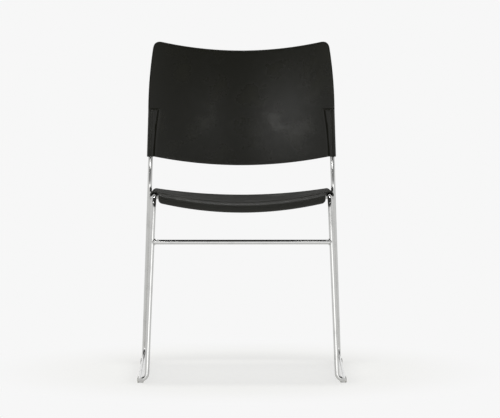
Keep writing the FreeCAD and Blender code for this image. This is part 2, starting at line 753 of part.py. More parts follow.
# Screws: pan heads with a hexagon socket, all of one size but for their length.

def screw(name, under_head, inward, length):
    """One screw, its head's seat at under_head and its shank running inward for length."""
    body = new_body(name + "_body")
    sketch = new_sketch(body, name + "_profile", "XZ_Plane")
    shank = size("screw_shank") / 2
    head = size("screw_head") / 2
    rise = size("screw_head_height")
    edge = rise / 2
    tip = size("screw_tip")
    outline = [
        Vector(0, length, 0), Vector(shank - tip / 2, length, 0), Vector(shank, length - tip, 0),
        Vector(shank, 0, 0), Vector(head, 0, 0), Vector(head, -edge, 0), Vector(head - edge, -rise, 0),
        Vector(0, -rise, 0), Vector(0, length, 0)]
    for start, end in zip(outline, outline[1:]):
        sketch.addGeometry(Part.LineSegment(start, end), False)
    turned = body.newObject("PartDesign::Revolution", name + "_turned")
    turned.Profile = sketch
    turned.ReferenceAxis = (sketch, ["V_Axis"])
    turned.Angle = 360
    doc.recompute()
    socket = new_sketch(body, name + "_socket", "XY_Plane")
    socket.AttachmentOffset = Placement(Vector(0, 0, -rise), Rotation())
    points = [
        Vector(math.cos(math.radians(60 * n)), math.sin(math.radians(60 * n)), 0) * (size("screw_socket") / 2)
        for n in range(7)]
    for start, end in zip(points, points[1:]):
        socket.addGeometry(Part.LineSegment(start, end), False)
    recess = body.newObject("PartDesign::Pocket", name + "_recess")
    recess.Profile = socket
    recess.setExpression("Length", "sizes.screw_socket_depth")
    recess.Reversed = True
    doc.recompute()
    body.Placement = along(under_head, under_head + inward)
    return body


for side_name, side in SIDES.items():
    inner_lip = RAIL_HALF_WIDTH - CHANNEL_INNER
    reach = CHANNEL_INNER + size("screw_bite")
    pair = []
    for spot in ("front", "rear"):
        under_head = seat_screw_point(side, spot, inner_lip)
        pair.append(screw("seat_screw_%s_%s" % (spot, side_name), under_head, Vector(side, 0, 0), reach))
    group = doc.addObject("Part::Compound", "seat_screw_pair_" + side_name)
    group.Links = pair
    finish(group, "seat_screws_" + side_name)
    point, outward = back_screw_frame(corners_of[side_name])
    head_seat = SOCKET_RADIUS - size("screw_seat_depth")
    finish(
        screw("back_fixing_" + side_name, point + outward * head_seat, outward * -1,
              head_seat + size("screw_bite")),
        "back_screw_" + side_name)

# Every object is checked before anything is written.

doc.recompute()
for item in doc.Objects:
    if "Invalid" in item.State or "Error" in item.State:
        raise RuntimeError("%s did not build: %s" % (item.Name, item.State))
for item in subparts:
    if item.Shape.isNull() or not item.Shape.isValid():
        raise RuntimeError("%s has no valid solid" % item.Label)
for item in subparts:
    item.Shape.exportStep("parts/%s.step" % item.Label)
    print(item.Label, len(item.Shape.Solids), round(item.Shape.Volume, 1))
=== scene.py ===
import math

import bmesh
import bpy
import numpy as np
from mathutils import Matrix, Vector
from mathutils.geometry import delaunay_2d_cdt


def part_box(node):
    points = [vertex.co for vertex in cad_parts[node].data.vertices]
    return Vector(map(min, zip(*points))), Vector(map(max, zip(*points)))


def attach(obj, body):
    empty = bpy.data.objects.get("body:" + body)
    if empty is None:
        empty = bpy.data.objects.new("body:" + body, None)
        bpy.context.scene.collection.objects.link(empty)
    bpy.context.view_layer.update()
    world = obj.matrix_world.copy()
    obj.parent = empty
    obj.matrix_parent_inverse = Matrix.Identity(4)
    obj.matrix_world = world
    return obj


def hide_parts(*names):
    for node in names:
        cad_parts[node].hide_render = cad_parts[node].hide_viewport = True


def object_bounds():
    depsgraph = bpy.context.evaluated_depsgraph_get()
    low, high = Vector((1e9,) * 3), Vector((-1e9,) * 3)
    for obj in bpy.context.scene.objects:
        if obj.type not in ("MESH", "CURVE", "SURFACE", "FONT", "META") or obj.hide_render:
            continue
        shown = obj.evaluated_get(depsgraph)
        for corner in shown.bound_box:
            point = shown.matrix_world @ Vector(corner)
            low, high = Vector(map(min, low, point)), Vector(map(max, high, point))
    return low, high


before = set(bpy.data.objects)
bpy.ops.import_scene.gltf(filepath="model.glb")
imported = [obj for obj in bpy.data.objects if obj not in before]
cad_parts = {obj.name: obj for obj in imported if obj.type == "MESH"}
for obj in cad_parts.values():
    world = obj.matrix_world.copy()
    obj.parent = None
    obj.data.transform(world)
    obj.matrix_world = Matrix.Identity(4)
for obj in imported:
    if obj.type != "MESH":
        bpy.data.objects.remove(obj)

scene = bpy.context.scene
cad_box = [list(corner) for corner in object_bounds()]
SIDES = {"left": -1, "right": 1}

# Studio: the chair stands free on a pale floor and is seen from a long way off, nearly level with its back.
# A wide white screen stands before it, and two narrow strips above that put the streaks in the chrome. The
# ceiling is dark but for one lamp, which lays the soft shadow on the floor.

PICTURE_WIDTH = 500
PICTURE_MIDDLE_Y = 209
HORIZON_Y = -141.9
FOCAL_PIXELS = 4320.0
SENSOR_WIDTH = 36.0
CAMERA_DISTANCE = 10.0
CAMERA_HEIGHT = 1.220
CAMERA_SIDE = -0.032
CAMERA_YAW = -0.00505
CAMERA_REACH = 100


def add_object(name, data):
    """A new object in the scene."""
    thing = bpy.data.objects.new(name, data)
    scene.collection.objects.link(thing)
    return thing


pitch = math.atan((PICTURE_MIDDLE_Y - HORIZON_Y) / FOCAL_PIXELS)
camera_data = bpy.data.cameras.new("camera")
camera_data.sensor_width = SENSOR_WIDTH
camera_data.lens = FOCAL_PIXELS / math.cos(pitch) / PICTURE_WIDTH * SENSOR_WIDTH
camera_data.clip_end = CAMERA_REACH
camera = add_object("camera", camera_data)
camera.location = (CAMERA_SIDE, cad_box[0][1] - CAMERA_DISTANCE, CAMERA_HEIGHT)
camera.rotation_euler = (math.pi / 2 - pitch, 0, CAMERA_YAW)
scene.camera = camera
scene.view_settings.view_transform = "Standard"

BACKDROP = 0.93
CEILING = 0.07
CEILING_TILT = 0.35
CEILING_STARTS = 0.45
CEILING_FULL = 0.85


def feed(entry, value):
    """Gives an input a value or another node's output; a node stands for its first output."""
    if isinstance(value, bpy.types.Node):
        value = value.outputs[0]
    if isinstance(value, bpy.types.NodeSocket):
        entry.id_data.links.new(value, entry)
    else:
        entry.default_value = value


def fill(node, *inputs, **named):
    """Feeds a node's inputs by name and in order, and sets what else is named."""
    for name, value in named.items():
        title = name.replace("_", " ")
        if title in node.inputs:
            feed(node.inputs[title], value)
        else:
            setattr(node, name, value)
    for entry, value in zip(node.inputs, inputs):
        feed(entry, value)
    return node


def add_node(tree, kind, *inputs, **named):
    """A new node of this kind, filled in the same way."""
    return fill(tree.nodes.new(kind), *inputs, **named)


def ramp(tree, value, low, high, start=0.0, end=1.0):
    """A number that runs softly from start to end while the value goes from low to high."""
    return add_node(tree, "ShaderNodeMapRange", value, low, high, start, end, interpolation_type="SMOOTHSTEP")


def arithmetic(tree, operation, *values):
    """What one operation makes of some numbers."""
    return add_node(tree, "ShaderNodeMath", *values, operation=operation)


world = bpy.data.worlds.new("studio")
world.use_nodes = True
scene.world = world
sky = world.node_tree
direction = add_node(sky, "ShaderNodeTexCoord").outputs["Generated"]
upward = add_node(sky, "ShaderNodeVectorMath", direction, (0, -CEILING_TILT, 1), operation="DOT_PRODUCT")
brightness = ramp(sky, upward.outputs["Value"], CEILING_STARTS, CEILING_FULL, BACKDROP, CEILING)
fill(sky.nodes["Background"], Color=brightness)

FLOOR_RADIUS = 14.0
FLOOR_SIDES = 96
FLOOR_DROP = 0.0004
FLOOR_LIT_RADIUS = 0.30
FLOOR_FADE_RADIUS = 0.66
FLOOR_COLOUR = (0.50, 0.50, 0.475, 1)
FLOOR_GLOW = 0.585


def to_mesh(shape, mesh):
    """Writes a worked shape to the mesh."""
    shape.to_mesh(mesh)
    shape.free()
    return mesh


disc = bmesh.new()
bmesh.ops.create_circle(disc, cap_ends=True, segments=FLOOR_SIDES, radius=FLOOR_RADIUS)
floor_mesh = to_mesh(disc, bpy.data.meshes.new("studio_floor"))
floor_mesh.transform(Matrix.Translation((0, 0, -FLOOR_DROP)))
floor = add_object("studio_floor", floor_mesh)

paint = bpy.data.materials.new("studio_floor")
paint.use_nodes = True
tree = paint.node_tree
tree.nodes.clear()
place = add_node(tree, "ShaderNodeTexCoord").outputs["Object"]
reach = add_node(tree, "ShaderNodeVectorMath", place, operation="LENGTH").outputs["Value"]
far = ramp(tree, reach, FLOOR_LIT_RADIUS, FLOOR_FADE_RADIUS)
lit = add_node(tree, "ShaderNodeBsdfDiffuse", Color=FLOOR_COLOUR)
glow = add_node(tree, "ShaderNodeEmission", Strength=FLOOR_GLOW)
lifted = add_node(tree, "ShaderNodeAddShader", lit, glow)
plain = add_node(tree, "ShaderNodeEmission", Strength=BACKDROP)
seen_floor = add_node(tree, "ShaderNodeMixShader", far, lifted, plain)
rays = add_node(tree, "ShaderNodeLightPath").outputs
seen = arithmetic(tree, "MAXIMUM", rays["Is Camera Ray"], rays["Is Glossy Ray"])
seen = arithmetic(tree, "MAXIMUM", seen, rays["Is Transmission Ray"])
surface = add_node(tree, "ShaderNodeMixShader", seen, lit, seen_floor)
# From below the floor is clear, so that the chair's underside can be looked at.
below = add_node(tree, "ShaderNodeNewGeometry").outputs["Backfacing"]
clear = add_node(tree, "ShaderNodeBsdfTransparent")
one_way = add_node(tree, "ShaderNodeMixShader", below, surface, clear)
add_node(tree, "ShaderNodeOutputMaterial", one_way)
floor_mesh.materials.append(paint)


def soft_lamp(name, place, target, width, height, radiance):
    """A flat lamp that faces its target, as bright all over as this radiance."""
    data = bpy.data.lights.new(name, "AREA")
    data.shape = "RECTANGLE"
    data.size = width
    data.size_y = height
    data.energy = radiance * width * height * math.pi
    lamp = add_object(name, data)
    lamp.location = place
    lamp.rotation_euler = (Vector(target) - Vector(place)).to_track_quat("-Z", "Y").to_euler()
    lamp.visible_camera = False


soft_lamp("front_screen", place=(0.2, -3.4, 0.62), target=(0, 0, 0.35), width=3.2, height=0.9, radiance=1.15)
soft_lamp("left_strip", place=(-0.46, -1.11, 1.38), target=(0.1, 0.14, 0.59), width=0.55, height=0.12,
          radiance=6.9)
soft_lamp("right_strip", place=(0.34, -1.16, 1.39), target=(-0.09, 0.14, 0.59), width=0.40, height=0.12,
          radiance=2.6)
soft_lamp("overhead", place=(0.0, 0.02, 3.0), target=(0, 0, 0), width=0.5, height=0.5, radiance=17.0)


# Side rods: each side of the frame is one solid steel bar of 11 mm, bent cold from the top of the upright
# round the knee, the floor runner and the front leg to the seat rail, then polished and chromed.

ROD_DIAMETER = 0.011
KNEE_HALF_WIDTH = 0.2205
RUNNER_HALF_WIDTH = 0.2364
RAIL_HALF_WIDTH = 0.2045
FOOT_HALF_WIDTH = 0.2213
UPRIGHT_TOP_HALF_WIDTH = 0.2159
RUNNER_Z = 0.0078
RUNNER_FRONT_Y = -0.2607
RUNNER_REAR_Y = 0.2138
FOOT_RISE = 0.008
RAIL_FRONT_Y = -0.2092
RAIL_FRONT_Z = 0.435
RAIL_FALL = math.radians(3.2)
RAIL_OVERRUN = 0.005
KNEE_Y = 0.1188
KNEE_Z = 0.428
UPRIGHT_TOP_Z = 0.611
UPRIGHT_LEAN = math.radians(15)
KNEE_BEND = 0.070
RUNNER_REAR_BEND = 0.024
RUNNER_FRONT_BEND = 0.009
RAIL_FRONT_BEND = 0.030
WELD_GAP = 0.0003
END_CHAMFER = 0.0008
END_SCALE = 0.86
BEND_STEPS = 16
ROUND_STEPS = 36
ROD_CORNERS = ("upright_top", "knee", "runner_rear", "runner_front", "leg_foot", "rail_front", "rail_rear")

SMUDGE_EDGE = (0.48, 0.72)
SMUDGE_SCALE = 30.0
DUST_EDGE = (0.52, 0.78)
DUST_SCALE = 700.0
DUST_SLOPE = (0.35, 0.95)
CHROME = (0.56, 0.56, 0.55)
CHROME_SMUDGED = 0.86
CHROME_DUST = (0.50, 0.48, 0.45)
CHROME_DUST_COVER = 0.35
HAIRLINE_HEIGHT = 0.004

rod_radius = ROD_DIAMETER / 2


def point_at_height(low, high, height):
    """Point of the straight line from low to high at this height."""
    return low + (high - low) * ((height - low.z) / (high.z - low.z))


def frame_corners(side):
    """Corners of one side rod's axis, and the point of the rear leg that meets the rear cross rod."""
    knee = Vector((side * KNEE_HALF_WIDTH, KNEE_Y, KNEE_Z))
    upright_rise = UPRIGHT_TOP_Z - KNEE_Z
    runner_rear = Vector((side * RUNNER_HALF_WIDTH, RUNNER_REAR_Y, RUNNER_Z))
    rail_front = Vector((side * RAIL_HALF_WIDTH, RAIL_FRONT_Y, RAIL_FRONT_Z))
    drop = (ROD_DIAMETER + WELD_GAP) / math.cos(RAIL_FALL)
    leg = runner_rear - knee
    below_rail = knee.z - rail_front.z + (knee.y - rail_front.y) * math.tan(RAIL_FALL) + drop
    crossing = knee + leg * (below_rail / (-leg.z - leg.y * math.tan(RAIL_FALL)))
    rail_length = (crossing.y - rail_front.y) / math.cos(RAIL_FALL) + RAIL_OVERRUN
    return {
        "upright_top": Vector((
            side * UPRIGHT_TOP_HALF_WIDTH, knee.y + upright_rise * math.tan(UPRIGHT_LEAN), UPRIGHT_TOP_Z)),
        "knee": knee,
        "crossing": crossing,
        "runner_rear": runner_rear,
        "runner_front": Vector((side * RUNNER_HALF_WIDTH, RUNNER_FRONT_Y, RUNNER_Z)),
        "leg_foot": Vector((side * FOOT_HALF_WIDTH, RUNNER_FRONT_Y, RUNNER_Z + FOOT_RISE)),
        "rail_front": rail_front,
        "rail_rear": rail_front + Vector((0, math.cos(RAIL_FALL), -math.sin(RAIL_FALL))) * rail_length,
    }


corners_of = {name: frame_corners(side) for name, side in SIDES.items()}


def bend_reach(radius, before, corner, after):
    """How far from its corner a bend of this radius starts."""
    return radius * math.tan((corner - before).angle(after - corner) / 2)


def node_group(name, kind, inputs, outputs):
    """A node group with these sockets, each with its kind and perhaps a value, and its entry's outputs."""
    tree = bpy.data.node_groups.new(name, kind)
    for way, sockets in (("INPUT", inputs), ("OUTPUT", outputs)):
        for title, socket_kind, *value in sockets:
            socket = tree.interface.new_socket(name=title, in_out=way, socket_type="NodeSocket" + socket_kind)
            if value:
                socket.default_value = value[0]
    return tree, add_node(tree, "NodeGroupInput").outputs


def named_attribute(tree, name, kind="FLOAT"):
    """What each point carries under this name."""
    return add_node(tree, "GeometryNodeInputNamedAttribute", data_type=kind, Name=name).outputs["Attribute"]


def round_skin(tree, curve, radius, steps, scale):
    """A round skin along a curve, its radius scaled from point to point."""
    ring = add_node(tree, "GeometryNodeCurvePrimitiveCircle", mode="RADIUS", Radius=radius, Resolution=steps)
    return add_node(tree, "GeometryNodeCurveToMesh", Curve=curve, Profile_Curve=ring, Scale=scale)


def put_out(tree, shape, finish):
    """Puts out the shape that a tree has made, in its finish."""
    real = add_node(tree, "GeometryNodeRealizeInstances", shape)
    finished = add_node(tree, "GeometryNodeSetMaterial", Geometry=real, Material=finish)
    add_node(tree, "NodeGroupOutput", finished)
    return tree


def bent_bar_tree():
    """Nodes that turn a chain of corners with bend radii into a round bar with broken end edges."""
    tree, given = node_group(
        "bent_bar", "GeometryNodeTree",
        [("Corners", "Geometry"), ("Bar Radius", "Float", rod_radius), ("Bend Steps", "Int", BEND_STEPS),
         ("Round Steps", "Int", ROUND_STEPS), ("Finish", "Material")], [("Bar", "Geometry")])
    chain = add_node(tree, "GeometryNodeMeshToCurve", Mesh=given["Corners"])
    fillet = add_node(tree, "GeometryNodeFilletCurve", mode="POLY", Curve=chain,
                      Radius=named_attribute(tree, "bend_radius"), Count=given["Bend Steps"])
    taper = named_attribute(tree, "thickness")
    skin = round_skin(tree, fillet, given["Bar Radius"], given["Round Steps"], taper)
    fill(skin, Fill_Caps=True)
    return put_out(tree, add_node(tree, "GeometryNodeSetShadeSmooth", Geometry=skin), given["Finish"])


def object_place(tree):
    """Place on the object, in its own measure."""
    return add_node(tree, "ShaderNodeTexCoord").outputs["Object"]


def noise(tree, scale, detail, roughness=0.5, place=None):
    """Noise over the object's own place, or over another one."""
    place = place or object_place(tree)
    return add_node(tree, "ShaderNodeTexNoise", Vector=place, Scale=scale, Detail=detail, Roughness=roughness)


def bumps(tree, height, distance, strength):
    """The surface's direction as a fine height tilts it."""
    return add_node(tree, "ShaderNodeBump", Strength=strength, Distance=distance, Height=height)


def handling_group():
    """Mask of finger smudges, and a film of dust that lies on what faces up."""
    tree, given = node_group(
        "handling", "ShaderNodeTree",
        [("Smudge Scale", "Float", SMUDGE_SCALE), ("Dust Scale", "Float", DUST_SCALE)],
        [("Smudges", "Float"), ("Dust", "Float")])
    cloud = noise(tree, given["Smudge Scale"], detail=5.0, roughness=0.6)
    speck = noise(tree, given["Dust Scale"], detail=2.0, roughness=0.7)
    facing = add_node(tree, "ShaderNodeNewGeometry").outputs["Normal"]
    upward = add_node(tree, "ShaderNodeSeparateXYZ", facing).outputs["Z"]
    lying = arithmetic(tree, "MULTIPLY", ramp(tree, upward, *DUST_SLOPE), ramp(tree, speck, *DUST_EDGE))
    add_node(tree, "NodeGroupOutput", ramp(tree, cloud, *SMUDGE_EDGE), lying)
    return tree


handling = handling_group()


def handled(tree, smudge_scale, dust_scale=DUST_SCALE):
    """Masks of the smudges and the dust, at these scales."""
    marks = add_node(tree, "ShaderNodeGroup", node_tree=handling)
    fill(marks, Smudge_Scale=smudge_scale, Dust_Scale=dust_scale)
    return marks.outputs["Smudges"], marks.outputs["Dust"]


def blend_number(tree, factor, low, high):
    """A number that runs from low to high with a mask."""
    return add_node(tree, "ShaderNodeMapRange", Value=factor, To_Min=low, To_Max=high)


def blend_colour(tree, factor, first, second):
    """A colour that runs from first to second with a mask; either may be a plain colour or another node's."""
    node = add_node(tree, "ShaderNodeMix", data_type="RGBA", Factor=factor)
    for entry, colour in ((node.inputs[6], first), (node.inputs[7], second)):
        feed(entry, (*colour, 1) if isinstance(colour, tuple) else colour)
    return node.outputs[2]


def shade(colour, share):
    """The colour with each channel at this share."""
    return tuple(channel * share for channel in colour)


def new_material(name, metallic=0.0):
    """A material with only its Principled shader, and that shader."""
    material = bpy.data.materials.new(name)
    material.use_nodes = True
    shader = material.node_tree.nodes["Principled BSDF"]
    return material, material.node_tree, fill(shader, Metallic=metallic)


def chrome_material(name, colour, rough_clean, rough_smudged, wave_height):
    """Chrome plate: mirror bright, with a faint wave of the drawn bar, smudges and some dust."""
    material, tree, shader = new_material(name, metallic=1.0)
    smudges, dust = handled(tree, smudge_scale=26.0, dust_scale=900.0)
    wave = noise(tree, scale=55.0, detail=2.0)
    hairlines = noise(tree, scale=2600.0, detail=2.0, roughness=0.7)
    height = arithmetic(tree, "MULTIPLY_ADD", hairlines, HAIRLINE_HEIGHT, wave)
    smudged = blend_colour(tree, smudges, colour, shade(colour, CHROME_SMUDGED))
    thin_dust = blend_number(tree, dust, 0.0, CHROME_DUST_COVER)
    fill(shader, Base_Color=blend_colour(tree, thin_dust, smudged, CHROME_DUST),
         Roughness=blend_number(tree, smudges, rough_clean, rough_smudged),
         Normal=bumps(tree, height, wave_height, strength=0.10))
    return material


chromed_rod = chrome_material(
    "chromed_rod", CHROME, rough_clean=0.09, rough_smudged=0.18, wave_height=0.00012)


def worked_mesh(thing):
    """The object's mesh as its modifiers leave it."""
    graph = bpy.context.evaluated_depsgraph_get()
    return bpy.data.meshes.new_from_object(thing.evaluated_get(graph), depsgraph=graph)


def nodes_to_mesh(name, seed_mesh, tree, **inputs):
    """Runs a geometry tree on a seed mesh with these inputs and keeps the result as a plain mesh object."""
    worker = add_object(name + "_seed", seed_mesh)
    modifier = worker.modifiers.new("shape", "NODES")
    modifier.node_group = tree
    for item in tree.interface.items_tree:
        key = item.name.replace(" ", "_").lower()
        if item.in_out == "INPUT" and key in inputs:
            modifier[item.identifier] = inputs[key]
    mesh = worked_mesh(worker)
    worker.modifiers.remove(modifier)
    bpy.data.objects.remove(worker)
    mesh.name = name
    return add_object(name, mesh)


def corner_chain(name, corners, radii):
    """Seed mesh for a bent bar: its corners in order, with a short taper at each end."""
    first = corners[0] + (corners[1] - corners[0]).normalized() * END_CHAMFER
    last = corners[-1] + (corners[-2] - corners[-1]).normalized() * END_CHAMFER
    points = [corners[0], first] + corners[1:-1] + [last, corners[-1]]
    bends = [0.0, 0.0] + radii + [0.0, 0.0]
    thicknesses = [END_SCALE] + [1.0] * (len(points) - 2) + [END_SCALE]
    mesh = bpy.data.meshes.new(name)
    mesh.from_pydata(points, [(n, n + 1) for n in range(len(points) - 1)], [])
    for title, values in (("bend_radius", bends), ("thickness", thicknesses)):
        mesh.attributes.new(title, "FLOAT", "POINT").data.foreach_set("value", values)
    return mesh


def fit_piece(piece, slot, *nodes):
    """The piece stands for these nodes, whose parts are hidden, and rides with the frame; the slot is not
    used.
    """
    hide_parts(*nodes)
    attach(piece, "root")
    return piece


bent_bar = bent_bar_tree()


def bent_rod(name, corners, radii, bend_steps=BEND_STEPS):
    """A chromed rod that runs through these corners, bent to a radius at each between its ends."""
    seed = corner_chain(name + "_corners", corners, radii)
    return nodes_to_mesh(name, seed, bent_bar, bar_radius=rod_radius, bend_steps=bend_steps,
                         round_steps=ROUND_STEPS, finish=chromed_rod)


for side_name, corner in corners_of.items():
    # The foot's bend takes up what the runner's bend leaves of the short run between their corners.
    runner_rear, runner_front, leg_foot, rail_front = (corner[name] for name in ROD_CORNERS[2:6])
    left_over = (leg_foot - runner_front).length
    left_over -= bend_reach(RUNNER_FRONT_BEND, runner_rear, runner_front, leg_foot)
    foot_bend = left_over / bend_reach(1.0, runner_front, leg_foot, rail_front)
    radii = [KNEE_BEND, RUNNER_REAR_BEND, RUNNER_FRONT_BEND, foot_bend, RAIL_FRONT_BEND]
    rod = bent_rod(side_name + "_side_bar", [corner[name] for name in ROD_CORNERS], radii)
    fit_piece(rod, "chromed_rod", side_name + "_side_rod")


# Cross rods: a straight bar between the front legs and a bowed one between the rear legs, under the rails.
# Each is the same 11 mm bar as the sides, its ends coped to the legs before they are welded.

FRONT_CROSS_Z = 0.327
REAR_CROSS_BOW = 0.0095
REAR_CROSS_STRAIGHT = 0.032
REAR_CROSS_SLOPE_RUN = 0.070
REAR_CROSS_BEND = 0.150
REAR_CROSS_STEPS = 10
COPE_GAP = 0.0001
TOOL_STEPS = 96


def cylinder_tool(start, end, radius, steps=TOOL_STEPS):
    """A closed cylinder between two points, for cutting another piece."""
    tool = bmesh.new()
    bmesh.ops.create_cone(tool, cap_ends=True, segments=steps, radius1=radius, radius2=radius,
                          depth=(end - start).length)
    turn = (end - start).to_track_quat("Z", "Y").to_matrix().to_4x4()
    bmesh.ops.transform(tool, matrix=Matrix.Translation((start + end) / 2) @ turn, verts=tool.verts)
    return to_mesh(tool, bpy.data.meshes.new("tool"))


def combine(piece, tool_mesh, operation):
    """Joins a tool to the piece or cuts it away, and leaves the piece a plain mesh."""
    tool = add_object("tool", tool_mesh)
    modifier = piece.modifiers.new("combine", "BOOLEAN")
    modifier.operation = operation
    modifier.solver = "EXACT"
    modifier.object = tool
    mesh = worked_mesh(piece)
    piece.modifiers.remove(modifier)
    piece.data = mesh
    bpy.data.objects.remove(tool)


def shape_of(mesh):
    """The mesh as a shape that can be worked."""
    shape = bmesh.new()
    shape.from_mesh(mesh)
    return shape


def smooth_by_angle(mesh, degrees):
    """Smooth shading, with the edges sharper than this angle left sharp."""
    mesh.shade_smooth()
    shape = shape_of(mesh)
    for edge in shape.edges:
        edge.smooth = not edge.is_manifold or edge.calc_face_angle() < math.radians(degrees)
    to_mesh(shape, mesh)


def keep_largest(mesh):
    """Keeps the largest loose part of a mesh, and drops what a cut left beyond."""
    shape = shape_of(mesh)
    left = set(shape.verts)
    parts = []
    while left:
        part = {left.pop()}
        reached = list(part)
        while reached:
            vertex = reached.pop()
            for edge in vertex.link_edges:
                other = edge.other_vert(vertex)
                if other in left:
                    left.remove(other)
                    part.add(other)
                    reached.append(other)
        parts.append(part)
    parts.sort(key=len)
    for part in parts[:-1]:
        bmesh.ops.delete(shape, geom=list(part), context="VERTS")
    to_mesh(shape, mesh)


def fit_cross_rod(rod, node, low, high):
    """Copes both ends of a cross rod to the legs, which run from low to high, and fits it."""
    for corner in corners_of.values():
        combine(rod, cylinder_tool(corner[low], corner[high], rod_radius + COPE_GAP), "DIFFERENCE")
    keep_largest(rod.data)
    smooth_by_angle(rod.data, degrees=40)
    fit_piece(rod, "chromed_rod", node)


front_joint = {side_name: point_at_height(corner["leg_foot"], corner["rail_front"], FRONT_CROSS_Z)
               for side_name, corner in corners_of.items()}
front_bar = bent_rod("front_cross_bar", [front_joint["left"], front_joint["right"]], [])
fit_cross_rod(front_bar, "front_cross_rod", "leg_foot", "rail_front")

inset = Vector((REAR_CROSS_STRAIGHT + rod_radius, 0, 0))
dip = Vector((REAR_CROSS_SLOPE_RUN, 0, -REAR_CROSS_BOW))
rise = Vector((-dip.x, 0, dip.z))
start, end = corners_of["left"]["crossing"], corners_of["right"]["crossing"]
bow = [start, start + inset, start + inset + dip, end - inset + rise, end - inset, end]
rear_bar = bent_rod("rear_cross_bar", bow, [REAR_CROSS_BEND] * 4, bend_steps=REAR_CROSS_STEPS)
fit_cross_rod(rear_bar, "rear_cross_rod", "runner_rear", "knee")


# Weld beads: a fillet laid round each end of both cross rods, and one round each place where the rear cross
# rod passes under a rail. The beads show the ripples of the torch under the chrome.

BEAD_RADIUS = 0.0019
BEAD_RIPPLE = 0.09
BEAD_RIPPLES = 22
BEAD_STEPS = 132
BEAD_ROUND_STEPS = 14
BEAD_UNEVEN = (0.82, 1.12)
BEAD_ABOVE_BAR = 0.25
BEAD_ABOVE_LEG = 0.3
SEAM_STEPS = 48
RAIL_BEAD_RING = 0.0043
RAIL_BEAD_SWING = 0.0011
RAIL_BEAD_SHARE = 0.8
WELD_CHROME = (0.52, 0.52, 0.51)


def bead_tree():
    """Nodes that lay a rippled bead round a closed chain of points."""
    tree, given = node_group(
        "weld_bead", "GeometryNodeTree",
        [("Seam", "Geometry"), ("Bead Radius", "Float", BEAD_RADIUS), ("Ripple Depth", "Float", BEAD_RIPPLE),
         ("Ripples", "Int", BEAD_RIPPLES), ("Steps", "Int", BEAD_STEPS), ("Finish", "Material")],
        [("Bead", "Geometry")])
    chain = add_node(tree, "GeometryNodeMeshToCurve", Mesh=given["Seam"])
    even = add_node(tree, "GeometryNodeResampleCurve", mode="COUNT", Curve=chain, Count=given["Steps"])
    turns = arithmetic(tree, "MULTIPLY", add_node(tree, "GeometryNodeSplineParameter"), given["Ripples"])
    depth = arithmetic(tree, "MULTIPLY", arithmetic(tree, "PINGPONG", turns, 1.0), given["Ripple Depth"])
    size = blend_number(tree, add_node(tree, "ShaderNodeTexNoise", Scale=180.0, Detail=1.0), *BEAD_UNEVEN)
    scale = arithmetic(tree, "MULTIPLY", arithmetic(tree, "SUBTRACT", 1.0, depth), size)
    skin = round_skin(tree, even, given["Bead Radius"], BEAD_ROUND_STEPS, scale)
    return put_out(tree, add_node(tree, "GeometryNodeSetShadeSmooth", Geometry=skin), given["Finish"])


seam_angles = [2 * math.pi * step / SEAM_STEPS for step in range(SEAM_STEPS)]


def cross_seam(joint, side, low, high):
    """Where the skin of a cross rod meets the leg that runs from low to high."""
    slant = (high - low).normalized()
    bar_reach = rod_radius + BEAD_RADIUS * BEAD_ABOVE_BAR
    leg_reach = rod_radius + BEAD_RADIUS * BEAD_ABOVE_LEG
    points = []
    for angle in seam_angles:
        on_bar = joint + Vector((0, math.sin(angle), math.cos(angle))) * bar_reach
        # The bar's line of skin, carried along X to the leg's skin on its inner side.
        to_axis = low - on_bar
        across = to_axis - slant * to_axis.dot(slant)
        aside = math.sqrt(max(0.0, leg_reach ** 2 - across.y ** 2 - across.z ** 2))
        points.append(on_bar + Vector((across.x - side * aside, 0, 0)))
    return points


bead = bead_tree()
chromed_weld = chrome_material(
    "chromed_weld", WELD_CHROME, rough_clean=0.12, rough_smudged=0.24, wave_height=0.0006)


def lay_bead(name, node, points, radius=BEAD_RADIUS, ripples=BEAD_RIPPLES, steps=BEAD_STEPS):
    """A weld bead on the closed chain of these points, fitted for its node."""
    seam = bpy.data.meshes.new("seam")
    seam.from_pydata(points, [(n, (n + 1) % len(points)) for n in range(len(points))], [])
    weld = nodes_to_mesh(name, seam, bead, bead_radius=radius, ripple_depth=BEAD_RIPPLE, ripples=ripples,
                         steps=steps, finish=chromed_weld)
    fit_piece(weld, "chromed_weld", node)


for side_name, side in SIDES.items():
    corner = corners_of[side_name]
    lay_bead("front_%s_bead" % side_name, "front_weld_" + side_name,
             cross_seam(front_joint[side_name], side, corner["leg_foot"], corner["rail_front"]))
    lay_bead("rear_%s_bead" % side_name, "rear_weld_" + side_name,
             cross_seam(corner["crossing"], side, corner["runner_rear"], corner["knee"]))
    half_drop = (rod_radius + WELD_GAP / 2) / math.cos(RAIL_FALL)
    middle = Vector((side * RAIL_HALF_WIDTH, corner["crossing"].y, corner["crossing"].z + half_drop))
    ring = [middle + Vector((math.cos(angle) * RAIL_BEAD_RING, math.sin(angle) * RAIL_BEAD_RING,
                             RAIL_BEAD_SWING * math.cos(2 * angle))) for angle in seam_angles]
    lay_bead("rail_%s_bead" % side_name, "rail_weld_" + side_name, ring, radius=BEAD_RADIUS * RAIL_BEAD_SHARE,
             ripples=BEAD_RIPPLES // 2, steps=BEAD_STEPS // 2)


# Floor glides: four saddles of milky nylon that snap on the runners from below and keep steel off the floor.
# Their soles are scuffed and carry the grey of the floor.

FIT_GAP = 0.0003
GLIDE_SOLE = 0.002
GLIDE_SIDE_WALL = 0.0014
GLIDE_GRIP = 0.002
GLIDE_EDGE = 0.0006
GLIDE_SHARP = math.radians(50)
GLIDE_BORE_STEPS = 24
SOLE_WEAR = 0.0012
NYLON = (0.66, 0.65, 0.60)
NYLON_SCUFFED = (0.42, 0.41, 0.38)
NYLON_ROUGHNESS = (0.36, 0.62)


